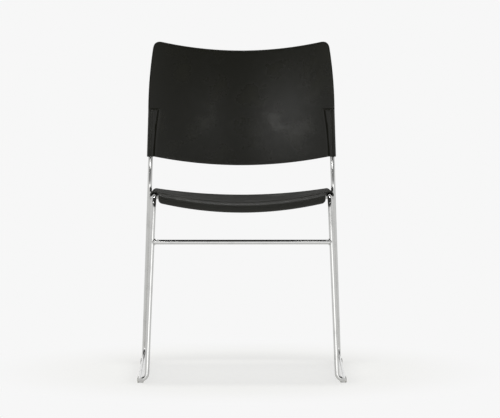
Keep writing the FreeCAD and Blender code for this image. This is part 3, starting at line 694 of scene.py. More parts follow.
def nylon_material():
    """Milky nylon, a little see-through, greyer and rougher where it is worn."""
    material, tree, shader = new_material("glide_nylon")
    smudges, _ = handled(tree, smudge_scale=260.0)
    height = add_node(tree, "ShaderNodeSeparateXYZ", object_place(tree)).outputs["Z"]
    scuff = arithmetic(tree, "MAXIMUM", ramp(tree, height, SOLE_WEAR, 0.0), smudges)
    fine = noise(tree, scale=1500.0, detail=3.0)
    fill(shader, Subsurface_Weight=0.25, Subsurface_Radius=(0.003, 0.003, 0.0025),
         Base_Color=blend_colour(tree, scuff, NYLON, NYLON_SCUFFED),
         Roughness=blend_number(tree, scuff, *NYLON_ROUGHNESS),
         Normal=bumps(tree, fine, distance=0.0002, strength=0.25))
    return material


glide_nylon = nylon_material()


def prism(first, last):
    """A closed bar between two like rings of points."""
    shape = bmesh.new()
    ends = [[shape.verts.new(point) for point in ring] for ring in (first, last)]
    shape.faces.new(ends[0])
    shape.faces.new(ends[1][::-1])
    for n in range(len(first)):
        after = (n + 1) % len(first)
        shape.faces.new((ends[0][n], ends[1][n], ends[1][after], ends[0][after]))
    bmesh.ops.recalc_face_normals(shape, faces=shape.faces)
    return shape


def glide_mesh(name, x, y_low, y_high):
    """A saddle under the runner, its section drawn once and carried along the runner."""
    bore = rod_radius + FIT_GAP
    half_width = bore + GLIDE_SIDE_WALL
    sole = -(bore + GLIDE_SOLE)
    lip_angle = math.asin(GLIDE_GRIP / bore)
    section = [(-half_width, GLIDE_GRIP), (-half_width, sole), (half_width, sole), (half_width, GLIDE_GRIP)]
    for step in range(GLIDE_BORE_STEPS + 1):
        angle = lip_angle - (math.pi + 2 * lip_angle) * step / GLIDE_BORE_STEPS
        section.append((bore * math.cos(angle), bore * math.sin(angle)))
    shape = prism(*[[(x + across, y, RUNNER_Z + up) for across, up in section] for y in (y_low, y_high)])
    sharp = [edge for edge in shape.edges if edge.calc_face_angle() > GLIDE_SHARP]
    bmesh.ops.bevel(shape, geom=sharp, offset=GLIDE_EDGE, segments=3, profile=0.5, affect="EDGES",
                    clamp_overlap=True)
    mesh = to_mesh(shape, bpy.data.meshes.new(name))
    smooth_by_angle(mesh, degrees=35)
    return mesh


for side_name, side in SIDES.items():
    for end_name in ("front", "rear"):
        node = "glide_%s_%s" % (end_name, side_name)
        lowest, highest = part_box(node)
        name = "%s_%s_glide" % (end_name, side_name)
        mesh = glide_mesh(name, side * RUNNER_HALF_WIDTH, lowest.y, highest.y)
        mesh.materials.append(glide_nylon)
        fit_piece(add_object(name, mesh), "glide_nylon", node)


# Seat shell: one injection moulding of black polypropylene, dished across and rolled down at the front edge,
# with an inverted channel along each side that lies on the rail. Its face has a fine leather-like grain.

WALL = 0.004
EDGE_ROUND = 0.002
CHANNEL_BORE = rod_radius + FIT_GAP
CHANNEL_CROWN = CHANNEL_BORE + WALL
CHANNEL_OUTER = 0.0101
CHANNEL_INNER = CHANNEL_BORE + 0.0022
CHANNEL_LIP = 0.0026
CHANNEL_START = 0.018
CHANNEL_REAR_GAP = 0.0125
SEAT_FRONT_HALF_WIDTH = 0.1939
SEAT_FRONT_REACH = 0.037
SEAT_REAR_OVERHANG = 0.015
SEAT_LIP_RADIUS = 0.020
SEAT_LIP_TURN = math.radians(76)
SEAT_LIP_STRAIGHT = 0.0086
SEAT_LIP_CORNER = 0.008
SEAT_STEP_CORNER = 0.004
SEAT_REAR_CORNER = 0.014
SEAT_DIPS = (0.0253, 0.025, 0.0154)
RIM_OFFSETS = [0.0, 0.00005, 0.0002, 0.00045, 0.0008, 0.00125, 0.002]
RELIEF_CORNER = 0.0025
RELIEF_EASE = 0.0001
REAR_CORNER_STEPS = 14
OUTLINE_STEP = 0.0035
RIM_CLEARANCE = 0.0009
SAME_POINT = 1e-7

rail_run = corners_of["right"]["rail_rear"] - corners_of["right"]["rail_front"]
crossing_reach = rail_run.length - RAIL_OVERRUN
seat_rear = crossing_reach + SEAT_REAR_OVERHANG
channel_end = crossing_reach - CHANNEL_REAR_GAP
seat_crest = -SEAT_FRONT_REACH + SEAT_LIP_RADIUS
lip_arc = SEAT_LIP_RADIUS * SEAT_LIP_TURN
seat_plane = Matrix.Translation((0, RAIL_FRONT_Y, RAIL_FRONT_Z)) @ Matrix.Rotation(-RAIL_FALL, 4, "X")


def seat_dip(y):
    """Depth of the dish in the middle, at this distance back: a parabola through three stations."""
    middle = (seat_crest + seat_rear) / 2
    front = (y - middle) * (y - seat_rear) / ((seat_crest - middle) * (seat_crest - seat_rear))
    centre = (y - seat_crest) * (y - seat_rear) / ((middle - seat_crest) * (middle - seat_rear))
    rear = (y - seat_crest) * (y - middle) / ((seat_rear - seat_crest) * (seat_rear - middle))
    return front * SEAT_DIPS[0] + centre * SEAT_DIPS[1] + rear * SEAT_DIPS[2]


shoulder_step = (CHANNEL_OUTER + CHANNEL_CROWN) / 2
shoulder_arc = shoulder_step * math.pi / 2


def seat_surface(across, along):
    """Point of the seat's upper face: across follows it over the shoulder, along over the front lip."""
    side = 1 if across >= 0 else -1
    reach = abs(across)
    y = seat_crest + max(along, 0.0)
    if reach <= RAIL_HALF_WIDTH:
        x = reach
        z = CHANNEL_CROWN - seat_dip(y) * (1 - (x / RAIL_HALF_WIDTH) ** 2)
    else:
        turn = min((reach - RAIL_HALF_WIDTH) / shoulder_step, math.pi / 2)
        beyond = max(0.0, reach - RAIL_HALF_WIDTH - shoulder_arc)
        x = RAIL_HALF_WIDTH + CHANNEL_OUTER * math.sin(turn)
        z = CHANNEL_CROWN * math.cos(turn) - beyond
    if along < 0:
        turn = min(-along / SEAT_LIP_RADIUS, SEAT_LIP_TURN)
        beyond = max(0.0, -along - lip_arc)
        y -= SEAT_LIP_RADIUS * math.sin(turn) + beyond * math.cos(turn)
        z -= SEAT_LIP_RADIUS * (1 - math.cos(turn)) + beyond * math.sin(turn)
    return Vector((side * x, y, z))


def corner_arc(centre, radius, first, last, steps=8):
    """Points of an arc between two angles given in degrees."""
    angles = [math.radians(first + (last - first) * n / steps) for n in range(steps + 1)]
    return [(centre[0] + radius * math.cos(a), centre[1] + radius * math.sin(a)) for a in angles]


def spaced(points, gap):
    """The same closed outline with its long runs divided, so that no step is longer than the gap."""
    dense = []
    for n, point in enumerate(points):
        following = points[(n + 1) % len(points)]
        length = math.hypot(following[0] - point[0], following[1] - point[1])
        if length < SAME_POINT:
            continue
        pieces = max(1, math.ceil(length / gap))
        for step in range(pieces):
            share = step / pieces
            dense.append((point[0] + (following[0] - point[0]) * share,
                          point[1] + (following[1] - point[1]) * share))
    return dense


def seat_outline():
    """The seat's unrolled outline, anticlockwise from the middle of the front edge."""
    front = -lip_arc - SEAT_LIP_STRAIGHT
    step = CHANNEL_START - seat_crest
    rear = seat_rear - seat_crest
    narrow = SEAT_FRONT_HALF_WIDTH
    wide = RAIL_HALF_WIDTH + shoulder_arc
    lip = wide + CHANNEL_LIP
    relief = channel_end - seat_crest
    half = [(0.0, front)]
    half += corner_arc((narrow - SEAT_LIP_CORNER, front + SEAT_LIP_CORNER), SEAT_LIP_CORNER, -90, 0, 10)
    half += corner_arc((narrow + SEAT_STEP_CORNER, step - SEAT_STEP_CORNER), SEAT_STEP_CORNER, 180, 90)
    half += corner_arc((lip - SEAT_STEP_CORNER, step + SEAT_STEP_CORNER), SEAT_STEP_CORNER, -90, 0)
    relief_start = relief - RELIEF_CORNER - RELIEF_EASE
    half += [(lip, relief_start)]
    half += corner_arc((wide + RELIEF_EASE, relief_start), RELIEF_CORNER, 0, 90, 5)
    # Behind the relief the outline follows the plan's corner, rolled out over the shoulder.
    corner_start = rear - SEAT_REAR_CORNER
    half += [(wide, relief + RELIEF_CORNER), (wide, corner_start)]
    corner_middle = RAIL_HALF_WIDTH + CHANNEL_OUTER - SEAT_REAR_CORNER
    for n in range(1, REAR_CORNER_STEPS + 1):
        angle = math.pi / 2 * n / REAR_CORNER_STEPS
        x = corner_middle + SEAT_REAR_CORNER * math.cos(angle)
        y = corner_start + SEAT_REAR_CORNER * math.sin(angle)
        if x > RAIL_HALF_WIDTH:
            x = RAIL_HALF_WIDTH + shoulder_step * math.asin((x - RAIL_HALF_WIDTH) / CHANNEL_OUTER)
        half.append((x, y))
    half.append((0.0, rear))
    return half + [(-x, y) for x, y in half[-2:0:-1]]


def ring_inside(loop, offset):
    """The closed loop moved inwards by an offset; the loop runs anticlockwise."""
    moved = []
    for n, point in enumerate(loop):
        before = Vector(loop[n - 1])
        here = Vector(point)
        after = Vector(loop[(n + 1) % len(loop)])
        one = (here - before).normalized()
        two = (after - here).normalized()
        inward = Vector((-one.y - two.y, one.x + two.x)).normalized()
        stretch = max(0.5, inward.dot(Vector((-one.y, one.x))))
        moved.append(tuple(here + inward * (offset / stretch)))
    return moved


def inside_loop(points, loop):
    """Which of the points lie inside the loop, as an array of truth values."""
    loop = np.array(loop)
    following = np.roll(loop, -1, axis=0)
    inside = np.zeros(len(points), bool)
    for (x1, y1), (x2, y2) in zip(loop, following):
        crosses = (y1 > points[:, 1]) != (y2 > points[:, 1])
        with np.errstate(divide="ignore", invalid="ignore"):
            at = (x2 - x1) * (points[:, 1] - y1) / (y2 - y1) + x1
        inside ^= crosses & (points[:, 0] < at)
    return inside


def shell_mesh(name, outline, stations, front_and_rear):
    """A closed moulded shell. The outline is its unrolled edge, the stations are points to mesh between, and
    front_and_rear gives both skins' points for a place in the outline and its distance from the edge."""
    rings = [ring_inside(outline, offset) for offset in RIM_OFFSETS]
    count = len(outline)
    inner = rings[-1]
    grid = np.array(stations)
    grid = grid[inside_loop(grid, inner)]
    gaps = np.array([np.min(np.hypot(*(np.array(inner) - point).T)) for point in grid])
    grid = grid[gaps > RIM_CLEARANCE]
    flat = [Vector(point) for point in inner] + [Vector(point) for point in grid]
    flat_points, _, faces, origins, _, _ = delaunay_2d_cdt(flat, [], [list(range(count))], 1, SAME_POINT)
    places = []
    for ring, offset in zip(rings[:-1], RIM_OFFSETS):
        places += [(point, offset) for point in ring]
    first_inner = len(places)
    places += [((point.x, point.y), RIM_OFFSETS[-1]) for point in flat_points]
    ring_index = {}
    for index, sources in enumerate(origins):
        for source in sources:
            if source < count:
                ring_index[source] = first_inner + index
    corners = []
    for depth in range(len(rings) - 1):
        for n in range(count):
            after = (n + 1) % count
            outer = (depth * count + n, depth * count + after)
            if depth + 2 < len(rings):
                inner_pair = ((depth + 1) * count + after, (depth + 1) * count + n)
            else:
                inner_pair = (ring_index[after], ring_index[n])
            corners.append(outer + inner_pair)
    corners += [tuple(first_inner + corner for corner in face) for face in faces]
    pairs = [front_and_rear(x, y, offset) for (x, y), offset in places]
    fronts = [front for front, _ in pairs]
    rears = [rear for _, rear in pairs]
    total = len(places)
    # The outermost ring is shared by both skins.
    rear_of = [n if n < count else total + n - count for n in range(total)]
    skins = corners + [tuple(rear_of[corner] for corner in reversed(face)) for face in corners]
    mesh = bpy.data.meshes.new(name)
    mesh.from_pydata(fronts + rears[count:], [], skins)
    shape = shape_of(mesh)
    bmesh.ops.recalc_face_normals(shape, faces=shape.faces)
    to_mesh(shape, mesh)
    mesh.shade_smooth()
    return mesh


def edge_profile(offset, radius):
    """Half thickness of a wall this far from its fully rounded edge."""
    return math.sqrt(max(0.0, radius ** 2 - (radius - min(offset, radius)) ** 2))


def stepped(*runs):
    """Values in even steps from stop to stop; a run gives its start and its step, the last only the end."""
    values = []
    for (low, gap), (high, _) in zip(runs, runs[1:]):
        number = max(1, round((high - low) / gap))
        values += [low + (high - low) * n / number for n in range(number)]
    return values + [runs[-1][0]]


def seat_skins(across, along, offset):
    """Upper and lower skin of the seat, the wall's outer face lying in the seat surface."""
    small = 0.0002
    point = seat_surface(across, along)
    east = seat_surface(across + small, along) - seat_surface(across - small, along)
    north = seat_surface(across, along + small) - seat_surface(across, along - small)
    up = east.cross(north).normalized()
    half = edge_profile(offset, EDGE_ROUND)
    return seat_plane @ (point - up * (WALL / 2 - half)), seat_plane @ (point - up * (WALL / 2 + half))


GRAIN_SCALE = 1900.0
GRAIN_BREAK_SCALE = 900.0
SCUFF_EDGE = (0.60, 0.74)
SCUFF_ZONES = (0.42, 0.66)
RUBBED_EDGE = (0.53, 0.60)
RUBBED_ROUGHNESS = -0.12
SMUDGED_ROUGHNESS = -0.07
SMUDGED_PLASTIC = 1.5
SCUFFED_PLASTIC = 1.9
PLASTIC_DUST = (0.16, 0.155, 0.145)
PLASTIC_DUST_COVER = 0.07
PLASTIC_IOR = 1.36
FLAT_ANGLE = (0.45, 0.85)
FLAT_ANGLE_SHINE = 0.004
SEAT_BLACK = (0.0150, 0.0150, 0.0110)
SEAT_SCUFFS = (60.0, 700.0, 300.0)


def grain_group():
    """Height of a fine moulded grain: small rounded cells broken by softer noise."""
    tree, given = node_group(
        "moulded_grain", "ShaderNodeTree", [("Cells", "Float", GRAIN_SCALE)], [("Height", "Float")])
    cells = add_node(tree, "ShaderNodeTexVoronoi", feature="SMOOTH_F1", Smoothness=0.6, Scale=given["Cells"],
                     Vector=object_place(tree))
    broken = noise(tree, GRAIN_BREAK_SCALE, detail=3.0)
    add_node(tree, "NodeGroupOutput", arithmetic(tree, "MULTIPLY", cells.outputs["Distance"], broken))
    return tree


def scratch_group():
    """Mask of fine scuffs that run mostly one way, as sitting and stacking leave them."""
    tree, given = node_group(
        "scuffs", "ShaderNodeTree", [("Stretch", "Vector", SEAT_SCUFFS)], [("Mask", "Float")])
    place = object_place(tree)
    stretched = add_node(tree, "ShaderNodeVectorMath", place, given["Stretch"], operation="MULTIPLY")
    lines = noise(tree, scale=1.0, detail=4.0, roughness=0.65, place=stretched)
    zones = noise(tree, scale=9.0, detail=2.0)
    mask = arithmetic(tree, "MULTIPLY", ramp(tree, lines, *SCUFF_EDGE), ramp(tree, zones, *SCUFF_ZONES))
    add_node(tree, "NodeGroupOutput", mask)
    return tree


grain = grain_group()
scuffs = scratch_group()


def plastic_material(name, colour, rough, shine, stretch):
    """Black moulded polypropylene: fine grain, edges rubbed smooth, smudges, scuffs and a little dust."""
    material, tree, shader = new_material(name)
    smudges, dust = handled(tree, smudge_scale=17.0)
    fine = add_node(tree, "ShaderNodeGroup", node_tree=grain)
    worn = add_node(tree, "ShaderNodeGroup", node_tree=scuffs, Stretch=stretch)
    smudged = blend_colour(tree, smudges, colour, shade(colour, SMUDGED_PLASTIC))
    rubbed = blend_colour(tree, worn, smudged, shade(colour, SCUFFED_PLASTIC))
    thin_dust = blend_number(tree, dust, 0.0, PLASTIC_DUST_COVER)
    edge = ramp(tree, add_node(tree, "ShaderNodeNewGeometry").outputs["Pointiness"], *RUBBED_EDGE)
    roughness = blend_number(tree, smudges, rough, rough + SMUDGED_ROUGHNESS)
    # The grain hides itself at a flat angle, so there the face hardly shines.
    facing = add_node(tree, "ShaderNodeLayerWeight", Blend=0.5).outputs["Facing"]
    fill(shader, IOR=PLASTIC_IOR, Base_Color=blend_colour(tree, thin_dust, rubbed, PLASTIC_DUST),
         Roughness=arithmetic(tree, "MULTIPLY_ADD", edge, RUBBED_ROUGHNESS, roughness),
         Specular_IOR_Level=ramp(tree, facing, *FLAT_ANGLE, shine, FLAT_ANGLE_SHINE),
         Normal=bumps(tree, fine, distance=0.00015, strength=0.3))
    return material


def both_sides(half_columns, rows):
    """Grid points over both halves of a shell, row by row."""
    columns = [-x for x in half_columns[:0:-1]] + half_columns
    return [(x, y) for y in rows for x in columns]


def coat_shell(shell, plastic):
    """Gives a moulding its plastic and keeps its rims sharp where they are."""
    shell.data.materials.clear()
    shell.data.materials.append(plastic)
    smooth_by_angle(shell.data, degrees=45)


# Each run of grid lines is given by where it starts and its step: finer over the shoulders, lip and relief.
wide = RAIL_HALF_WIDTH + shoulder_arc + CHANNEL_LIP
relief = channel_end - seat_crest
half_columns = stepped((0.0, 0.008), (0.176, 0.004), (RAIL_HALF_WIDTH - 0.004, 0.0014), (wide, None))
rows = stepped((-lip_arc - SEAT_LIP_STRAIGHT, 0.0016), (0.004, 0.003), (0.028, 0.0018), (0.045, 0.008),
               (relief - 0.008, 0.002), (relief + 0.008, 0.0035), (seat_rear - seat_crest, None))
seat_mesh = shell_mesh("seat_moulding", spaced(seat_outline(), OUTLINE_STEP), both_sides(half_columns, rows),
                       seat_skins)
seat = add_object("seat_moulding", seat_mesh)

LIP_ROOT = 0.0045
LIP_STEPS = 8


def lip_strip(side):
    """Inner lip of a channel: a thin rib from inside the wall down past the rail, rounded at its foot."""
    low, high = RAIL_HALF_WIDTH - CHANNEL_INNER, RAIL_HALF_WIDTH - CHANNEL_BORE
    radius = (high - low) / 2
    foot = -CHANNEL_LIP + radius
    profile = [(high, LIP_ROOT), (high, foot)]
    for n in range(1, LIP_STEPS):
        angle = -math.pi * n / LIP_STEPS
        profile.append(((low + high) / 2 + radius * math.cos(angle), foot + radius * math.sin(angle)))
    profile += [(low, foot), (low, LIP_ROOT)]
    shape = prism(*[[seat_plane @ Vector((side * x, y, z)) for x, z in profile]
                    for y in (CHANNEL_START, channel_end)])
    return to_mesh(shape, bpy.data.meshes.new("lip_strip"))


for side in SIDES.values():
    combine(seat, lip_strip(side), "UNION")
seat_plastic = plastic_material("seat_plastic", SEAT_BLACK, rough=0.44, shine=0.60, stretch=SEAT_SCUFFS)
coat_shell(seat, seat_plastic)
fit_piece(seat, "seat_plastic", "seat_shell")


# Screws: pan heads of zinc-plated steel with a hexagon socket. Two on each side hold the seat's channel to
# the rail from the inside, and one on each side goes through the back's sleeve into the upright.

SCREW_SHANK = 0.0036
SCREW_HEAD = 0.0064
SCREW_HEAD_HEIGHT = 0.0022
SCREW_SOCKET = 0.0025
SCREW_SOCKET_DEPTH = 0.0013
SCREW_TIP = 0.001
SCREW_BITE = 0.002
THREAD_PITCH = 0.0008
THREAD_DEPTH = 0.0002
THREAD_END = THREAD_PITCH * 1.5
SCREW_STEPS = 36
HEAD_CROWN_STEPS = 5
HEAD_EDGE = 0.0001
SOCKET_EDGE = 0.00015
SOCKET_CONE = 0.0003
ZINC = (0.52, 0.52, 0.51)
ZINC_SMUDGED = (0.36, 0.35, 0.33)
ZINC_ROUGHNESS = (0.28, 0.45)


def screw_blank(length):
    """One screw with its head's seat at the origin and its shank along +Z, turned from rings."""
    head = SCREW_HEAD / 2
    shank = SCREW_SHANK / 2
    root = shank - THREAD_DEPTH
    crown = SCREW_HEAD_HEIGHT / 2
    rings = [(0.0, length, 0), (shank - SCREW_TIP / 2, length, 0), (root, length - SCREW_TIP, 0)]
    height = length - SCREW_TIP
    while height > THREAD_END:
        rings.append((shank, height - THREAD_PITCH / 4, 0))
        rings.append((root, height - THREAD_PITCH / 2, 0))
        rings.append((root, height - THREAD_PITCH, 0))
        height -= THREAD_PITCH
    rings += [(root, 0.0, 0), (head - HEAD_EDGE, 0.0, 0), (head, -HEAD_EDGE, 0), (head, -crown, 0)]
    for n in range(1, HEAD_CROWN_STEPS + 1):
        angle = math.pi / 2 * n / HEAD_CROWN_STEPS
        rings.append((head - crown + crown * math.cos(angle), -crown - crown * math.sin(angle), 0))
    socket = SCREW_SOCKET / 2
    socket_floor = -SCREW_HEAD_HEIGHT + SCREW_SOCKET_DEPTH
    rings += [(socket + SOCKET_EDGE, -SCREW_HEAD_HEIGHT, 1), (socket, -SCREW_HEAD_HEIGHT + SOCKET_EDGE, 1),
              (socket, socket_floor, 1), (0.0, socket_floor + SOCKET_CONE, 1)]
    points = []
    for radius, z, hexagonal in rings:
        for step in range(SCREW_STEPS):
            angle = 2 * math.pi * step / SCREW_STEPS
            across = radius
            if hexagonal:
                across = radius * math.cos(math.pi / 6) / math.cos(angle % (math.pi / 3) - math.pi / 6)
            points.append((across * math.cos(angle), across * math.sin(angle), z))
    faces = []
    for ring in range(len(rings) - 1):
        for step in range(SCREW_STEPS):
            after = (step + 1) % SCREW_STEPS
            a, b = ring * SCREW_STEPS, (ring + 1) * SCREW_STEPS
            faces.append((a + step, a + after, b + after, b + step))
    mesh = bpy.data.meshes.new("screw_blank")
    mesh.from_pydata(points, [], faces)
    shape = shape_of(mesh)
    bmesh.ops.remove_doubles(shape, verts=shape.verts, dist=SAME_POINT)
    bmesh.ops.recalc_face_normals(shape, faces=shape.faces)
    to_mesh(shape, mesh)
    smooth_by_angle(mesh, degrees=40)
    return mesh


def screw_set_tree():
    """Nodes that set a screw at each point, turned to the way that the point gives."""
    tree, given = node_group(
        "screw_set", "GeometryNodeTree",
        [("Places", "Geometry"), ("Screw", "Object"), ("Finish", "Material")], [("Screws", "Geometry")])
    turn = add_node(tree, "FunctionNodeAlignRotationToVector", axis="Z",
                    Vector=named_attribute(tree, "way_in", "FLOAT_VECTOR"))
    blank = add_node(tree, "GeometryNodeObjectInfo", Object=given["Screw"]).outputs["Geometry"]
    screws = add_node(tree, "GeometryNodeInstanceOnPoints", Points=given["Places"], Instance=blank,
                      Rotation=turn)
    return put_out(tree, screws, given["Finish"])


def zinc_material():
    """Zinc-plated steel: dull grey with fine turning marks and a darker film in places."""
    material, tree, shader = new_material("screw_steel", metallic=1.0)
    smudges, _ = handled(tree, smudge_scale=420.0)
    fine = noise(tree, scale=4200.0, detail=2.0)
    fill(shader, Base_Color=blend_colour(tree, smudges, ZINC, ZINC_SMUDGED),
         Roughness=blend_number(tree, smudges, *ZINC_ROUGHNESS),
         Normal=bumps(tree, fine, distance=0.0001, strength=0.4))
    return material


screw_set = screw_set_tree()
screw_steel = zinc_material()


def set_screws(name, node, places, way, length):
    """Screws of one length at these places, all pointing the same way."""
    seed = bpy.data.meshes.new("screw_places")
    seed.from_pydata(places, [], [])
    seed.attributes.new("way_in", "FLOAT_VECTOR", "POINT").data.foreach_set("vector", list(way) * len(places))
    blank = add_object("screw_blank", screw_blank(length))
    piece = nodes_to_mesh(name, seed, screw_set, screw=blank, finish=screw_steel)
    bpy.data.objects.remove(blank)
    smooth_by_angle(piece.data, degrees=40)
    fit_piece(piece, "screw_steel", node)


SEAT_SCREW_INSET = 0.042
SEAT_SCREW_DROP = 0.0009

for side_name, side in SIDES.items():
    seats = [seat_plane @ Vector((side * (RAIL_HALF_WIDTH - CHANNEL_INNER), reach, -SEAT_SCREW_DROP))
             for reach in (CHANNEL_START + SEAT_SCREW_INSET, channel_end - SEAT_SCREW_INSET)]
    set_screws("%s_seat_screws" % side_name, "seat_screws_" + side_name, seats, Vector((side, 0, 0)),
               CHANNEL_INNER + SCREW_BITE)


# Back shell: a second moulding of the same black plastic, curved round the sitter and leaning back. A sleeve
# down each side slides over the upright and ends in a soft step, with a shallow hollow beside it.

BACK_DEPTH = 0.046
BACK_EXTRA_LEAN = 0.016
BACK_TOP_Z = 0.7778
BACK_TOP_INSET = 0.0053
BACK_TOP_DIP = 0.0266
BACK_TOP_CORNER = 0.0195
BACK_SIDE_BULGE = 0.0035
BACK_BOTTOM_DIP = 0.0235
SLEEVE_WALL = 0.003
SLEEVE_BOTTOM_Z = 0.5012
SLEEVE_TOP_Z = UPRIGHT_TOP_Z + 0.0045
SLEEVE_STEP = 0.005
SLEEVE_FLAT = 0.0060
SLEEVE_SPREAD = 0.0075
SLEEVE_FADE = 0.0105
SLEEVE_FADE_POWER = 1.8
BACK_SCREW_Z = 0.538
SCREW_SEAT_DEPTH = 0.0012
BORE_DEPTH = 0.100
CUT_OVERRUN = 0.02
SWELL_BLEND = 6
SLEEVE_CORNER = 0.0025
ARC_REACH = 0.99
HALF_WAY = 0.5
DIP_HALF_WAY = 0.75
LONG_ARC_STEPS = 60
SIDE_ARC_STEPS = 40
BACK_BLACK = (0.0128, 0.0128, 0.0090)
BACK_SCUFFS = (500.0, 200.0, 70.0)

sleeve_radius = rod_radius + FIT_GAP + SLEEVE_WALL
upright = (corners_of["right"]["knee"], corners_of["right"]["upright_top"])


def back_side_y(z):
    """Depth of the wall's middle at the uprights, which carries on above them with extra lean."""
    y = KNEE_Y + (z - KNEE_Z) * math.tan(UPRIGHT_LEAN)
    above = max(0.0, z - SLEEVE_BOTTOM_Z)
    return y + BACK_EXTRA_LEAN * (above / (BACK_TOP_Z - SLEEVE_BOTTOM_Z)) ** 2


def back_wall(x, z):
    """Depth of the wall's middle, and how much its slope thickens it front to back."""
    half = point_at_height(*upright, z).x
    radius = (half ** 2 + BACK_DEPTH ** 2) / (2 * BACK_DEPTH)
    rise = math.sqrt(radius ** 2 - min(abs(x), radius * ARC_REACH) ** 2)
    return back_side_y(z) + BACK_DEPTH - radius + rise, radius / rise


def arc_through(first, middle, last, steps):
    """Points of the circle through three points, from the first to just before the last."""
    ax, ay = first
    bx, by = middle
    cx, cy = last
    a, b, c = (x ** 2 + y ** 2 for x, y in (first, middle, last))
    turn = 2 * (ax * (by - cy) + bx * (cy - ay) + cx * (ay - by))
    ux = (a * (by - cy) + b * (cy - ay) + c * (ay - by)) / turn
    uy = (a * (cx - bx) + b * (ax - cx) + c * (bx - ax)) / turn
    start = math.atan2(ay - uy, ax - ux)
    sweep = (math.atan2(cy - uy, cx - ux) - start + math.pi) % (2 * math.pi) - math.pi
    radius = math.hypot(ax - ux, ay - uy)
    angles = [start + sweep * n / steps for n in range(steps)]
    return [(ux + radius * math.cos(angle), uy + radius * math.sin(angle)) for angle in angles]


def rounded(points, corner, radius, steps=10):
    """The outline with the corner at this index cut to a soft arc of about this radius."""
    here = Vector(points[corner])

    def walk(direction):
        left = radius
        spot = here
        index = corner
        while True:
            index = (index + direction) % len(points)
            following = Vector(points[index])
            length = (following - spot).length
            if length > left:
                return spot + (following - spot) * (left / length), index
            left -= length
            spot = following

    before, before_index = walk(-1)
    after, after_index = walk(1)
    curve = []
    for n in range(steps + 1):
        share = n / steps
        curve.append(tuple(before * (1 - share) ** 2 + here * (2 * share * (1 - share)) + after * share ** 2))
    kept = []
    index = after_index
    while index != before_index:
        kept.append(points[index])
        index = (index + 1) % len(points)
    return kept + [points[before_index]] + curve


def back_outline():
    """Outline of the back seen from the front, anticlockwise from the middle of its lower edge."""
    low_x = point_at_height(*upright, SLEEVE_BOTTOM_Z).x
    high_x = UPRIGHT_TOP_HALF_WIDTH
    bottom, top = SLEEVE_BOTTOM_Z, BACK_TOP_Z
    inner = (low_x - sleeve_radius, bottom)
    lower = (low_x + sleeve_radius, bottom)
    sleeve_top = (high_x + sleeve_radius, UPRIGHT_TOP_Z)
    upper = (high_x - BACK_TOP_INSET, top)
    bulge = ((sleeve_top[0] + upper[0]) / 2 + BACK_SIDE_BULGE, (sleeve_top[1] + upper[1]) / 2)
    lower_half_way = (inner[0] * HALF_WAY, bottom - BACK_BOTTOM_DIP * DIP_HALF_WAY)
    upper_half_way = (upper[0] * HALF_WAY, top - BACK_TOP_DIP * DIP_HALF_WAY)
    top_middle = (0.0, top - BACK_TOP_DIP)
    right = arc_through((0.0, bottom - BACK_BOTTOM_DIP), lower_half_way, inner, LONG_ARC_STEPS)
    right += [inner, lower]
    right += arc_through(sleeve_top, bulge, upper, SIDE_ARC_STEPS)
    right += arc_through(upper, upper_half_way, top_middle, LONG_ARC_STEPS)
    right.append(top_middle)
    whole = right + [(-x, z) for x, z in right[-2:0:-1]]
    for side in (1, -1):
        for (x, z), radius in ((upper, BACK_TOP_CORNER), (lower, SLEEVE_CORNER)):
            index = min(range(len(whole)), key=lambda n: math.dist(whole[n], (side * x, z)))
            whole = rounded(whole, index, radius)
    return spaced(whole, OUTLINE_STEP)


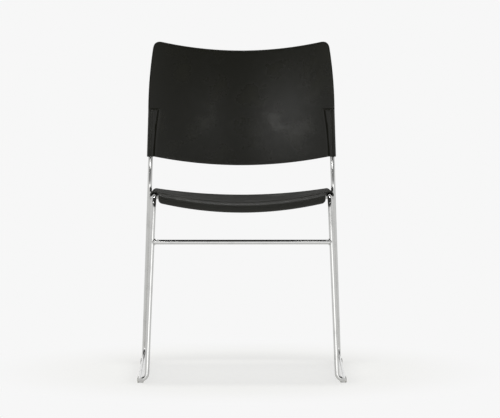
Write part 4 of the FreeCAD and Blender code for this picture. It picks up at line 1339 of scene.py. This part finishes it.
def back_skins(x, z, offset):
    """Front and rear skin of the back: the even wall, swelling to a sleeve round each upright."""
    middle, slope = back_wall(x, z)
    wall = edge_profile(offset, EDGE_ROUND) * slope
    axis = point_at_height(*upright, z)
    aside = abs(x) - axis.x
    window = edge_profile(max(0.0, SLEEVE_TOP_Z - z), SLEEVE_STEP) / SLEEVE_STEP if z < SLEEVE_TOP_Z else 0.0
    floor = edge_profile(max(0.0, z - SLEEVE_BOTTOM_Z), EDGE_ROUND) / EDGE_ROUND
    # Towards the middle of the back the sleeve runs out flat, and further in the higher it is.
    share = max(0.0, (z - SLEEVE_BOTTOM_Z) / (UPRIGHT_TOP_Z - SLEEVE_BOTTOM_Z))
    flat = SLEEVE_FLAT + SLEEVE_SPREAD * share ** 2
    from_axis = min(max(aside, -SLEEVE_FLAT), sleeve_radius)
    swell = edge_profile(sleeve_radius - abs(from_axis), sleeve_radius)
    if aside < -flat:
        swell *= max(0.0, 1 - (-aside - flat) / SLEEVE_FADE) ** SLEEVE_FADE_POWER
    swell *= window * floor
    half = (wall ** SWELL_BLEND + swell ** SWELL_BLEND) ** (1 / SWELL_BLEND)
    near = max(0.0, 1 - abs(aside) / (flat + SLEEVE_FADE)) * window
    centre = middle + (axis.y - middle) * near * (1 if abs(aside) < sleeve_radius else near)
    return Vector((x, centre - half, z)), Vector((x, centre + half, z))


# The grid is finer over the sleeves, at their foot and at the step above them.
outer = UPRIGHT_TOP_HALF_WIDTH + sleeve_radius + 0.003
half_columns = stepped((0.0, 0.008), (0.176, 0.004), (0.192, 0.0011), (outer, None))
rows = stepped((SLEEVE_BOTTOM_Z - BACK_BOTTOM_DIP, 0.006), (SLEEVE_BOTTOM_Z, 0.0011),
               (SLEEVE_BOTTOM_Z + 0.005, 0.006), (SLEEVE_TOP_Z - 0.008, 0.0009),
               (SLEEVE_TOP_Z + 0.002, 0.006), (BACK_TOP_Z, None))
back_mesh = shell_mesh("back_moulding", back_outline(), both_sides(half_columns, rows), back_skins)
back = add_object("back_moulding", back_mesh)

for side_name, corner in corners_of.items():
    upward = (corner["upright_top"] - corner["knee"]).normalized()
    foot = point_at_height(corner["knee"], corner["upright_top"], SLEEVE_BOTTOM_Z)
    bore = cylinder_tool(foot - upward * CUT_OVERRUN, foot + upward * BORE_DEPTH, CHANNEL_BORE, steps=48)
    combine(back, bore, "DIFFERENCE")
    on_axis = point_at_height(corner["knee"], corner["upright_top"], BACK_SCREW_Z)
    outward = (Vector((0, 1, 0)) - upward * upward.y).normalized()
    head_seat = on_axis + outward * (sleeve_radius - SCREW_SEAT_DEPTH)
    recess = cylinder_tool(head_seat, head_seat + outward * CUT_OVERRUN, SCREW_HEAD / 2 + FIT_GAP, steps=48)
    combine(back, recess, "DIFFERENCE")
    set_screws("%s_back_screw" % side_name, "back_screw_" + side_name, [head_seat], -outward,
               sleeve_radius - SCREW_SEAT_DEPTH + SCREW_BITE)
back_plastic = plastic_material("back_plastic", BACK_BLACK, rough=0.29, shine=0.5, stretch=BACK_SCUFFS)
coat_shell(back, back_plastic)
fit_piece(back, "back_plastic", "back_shell")
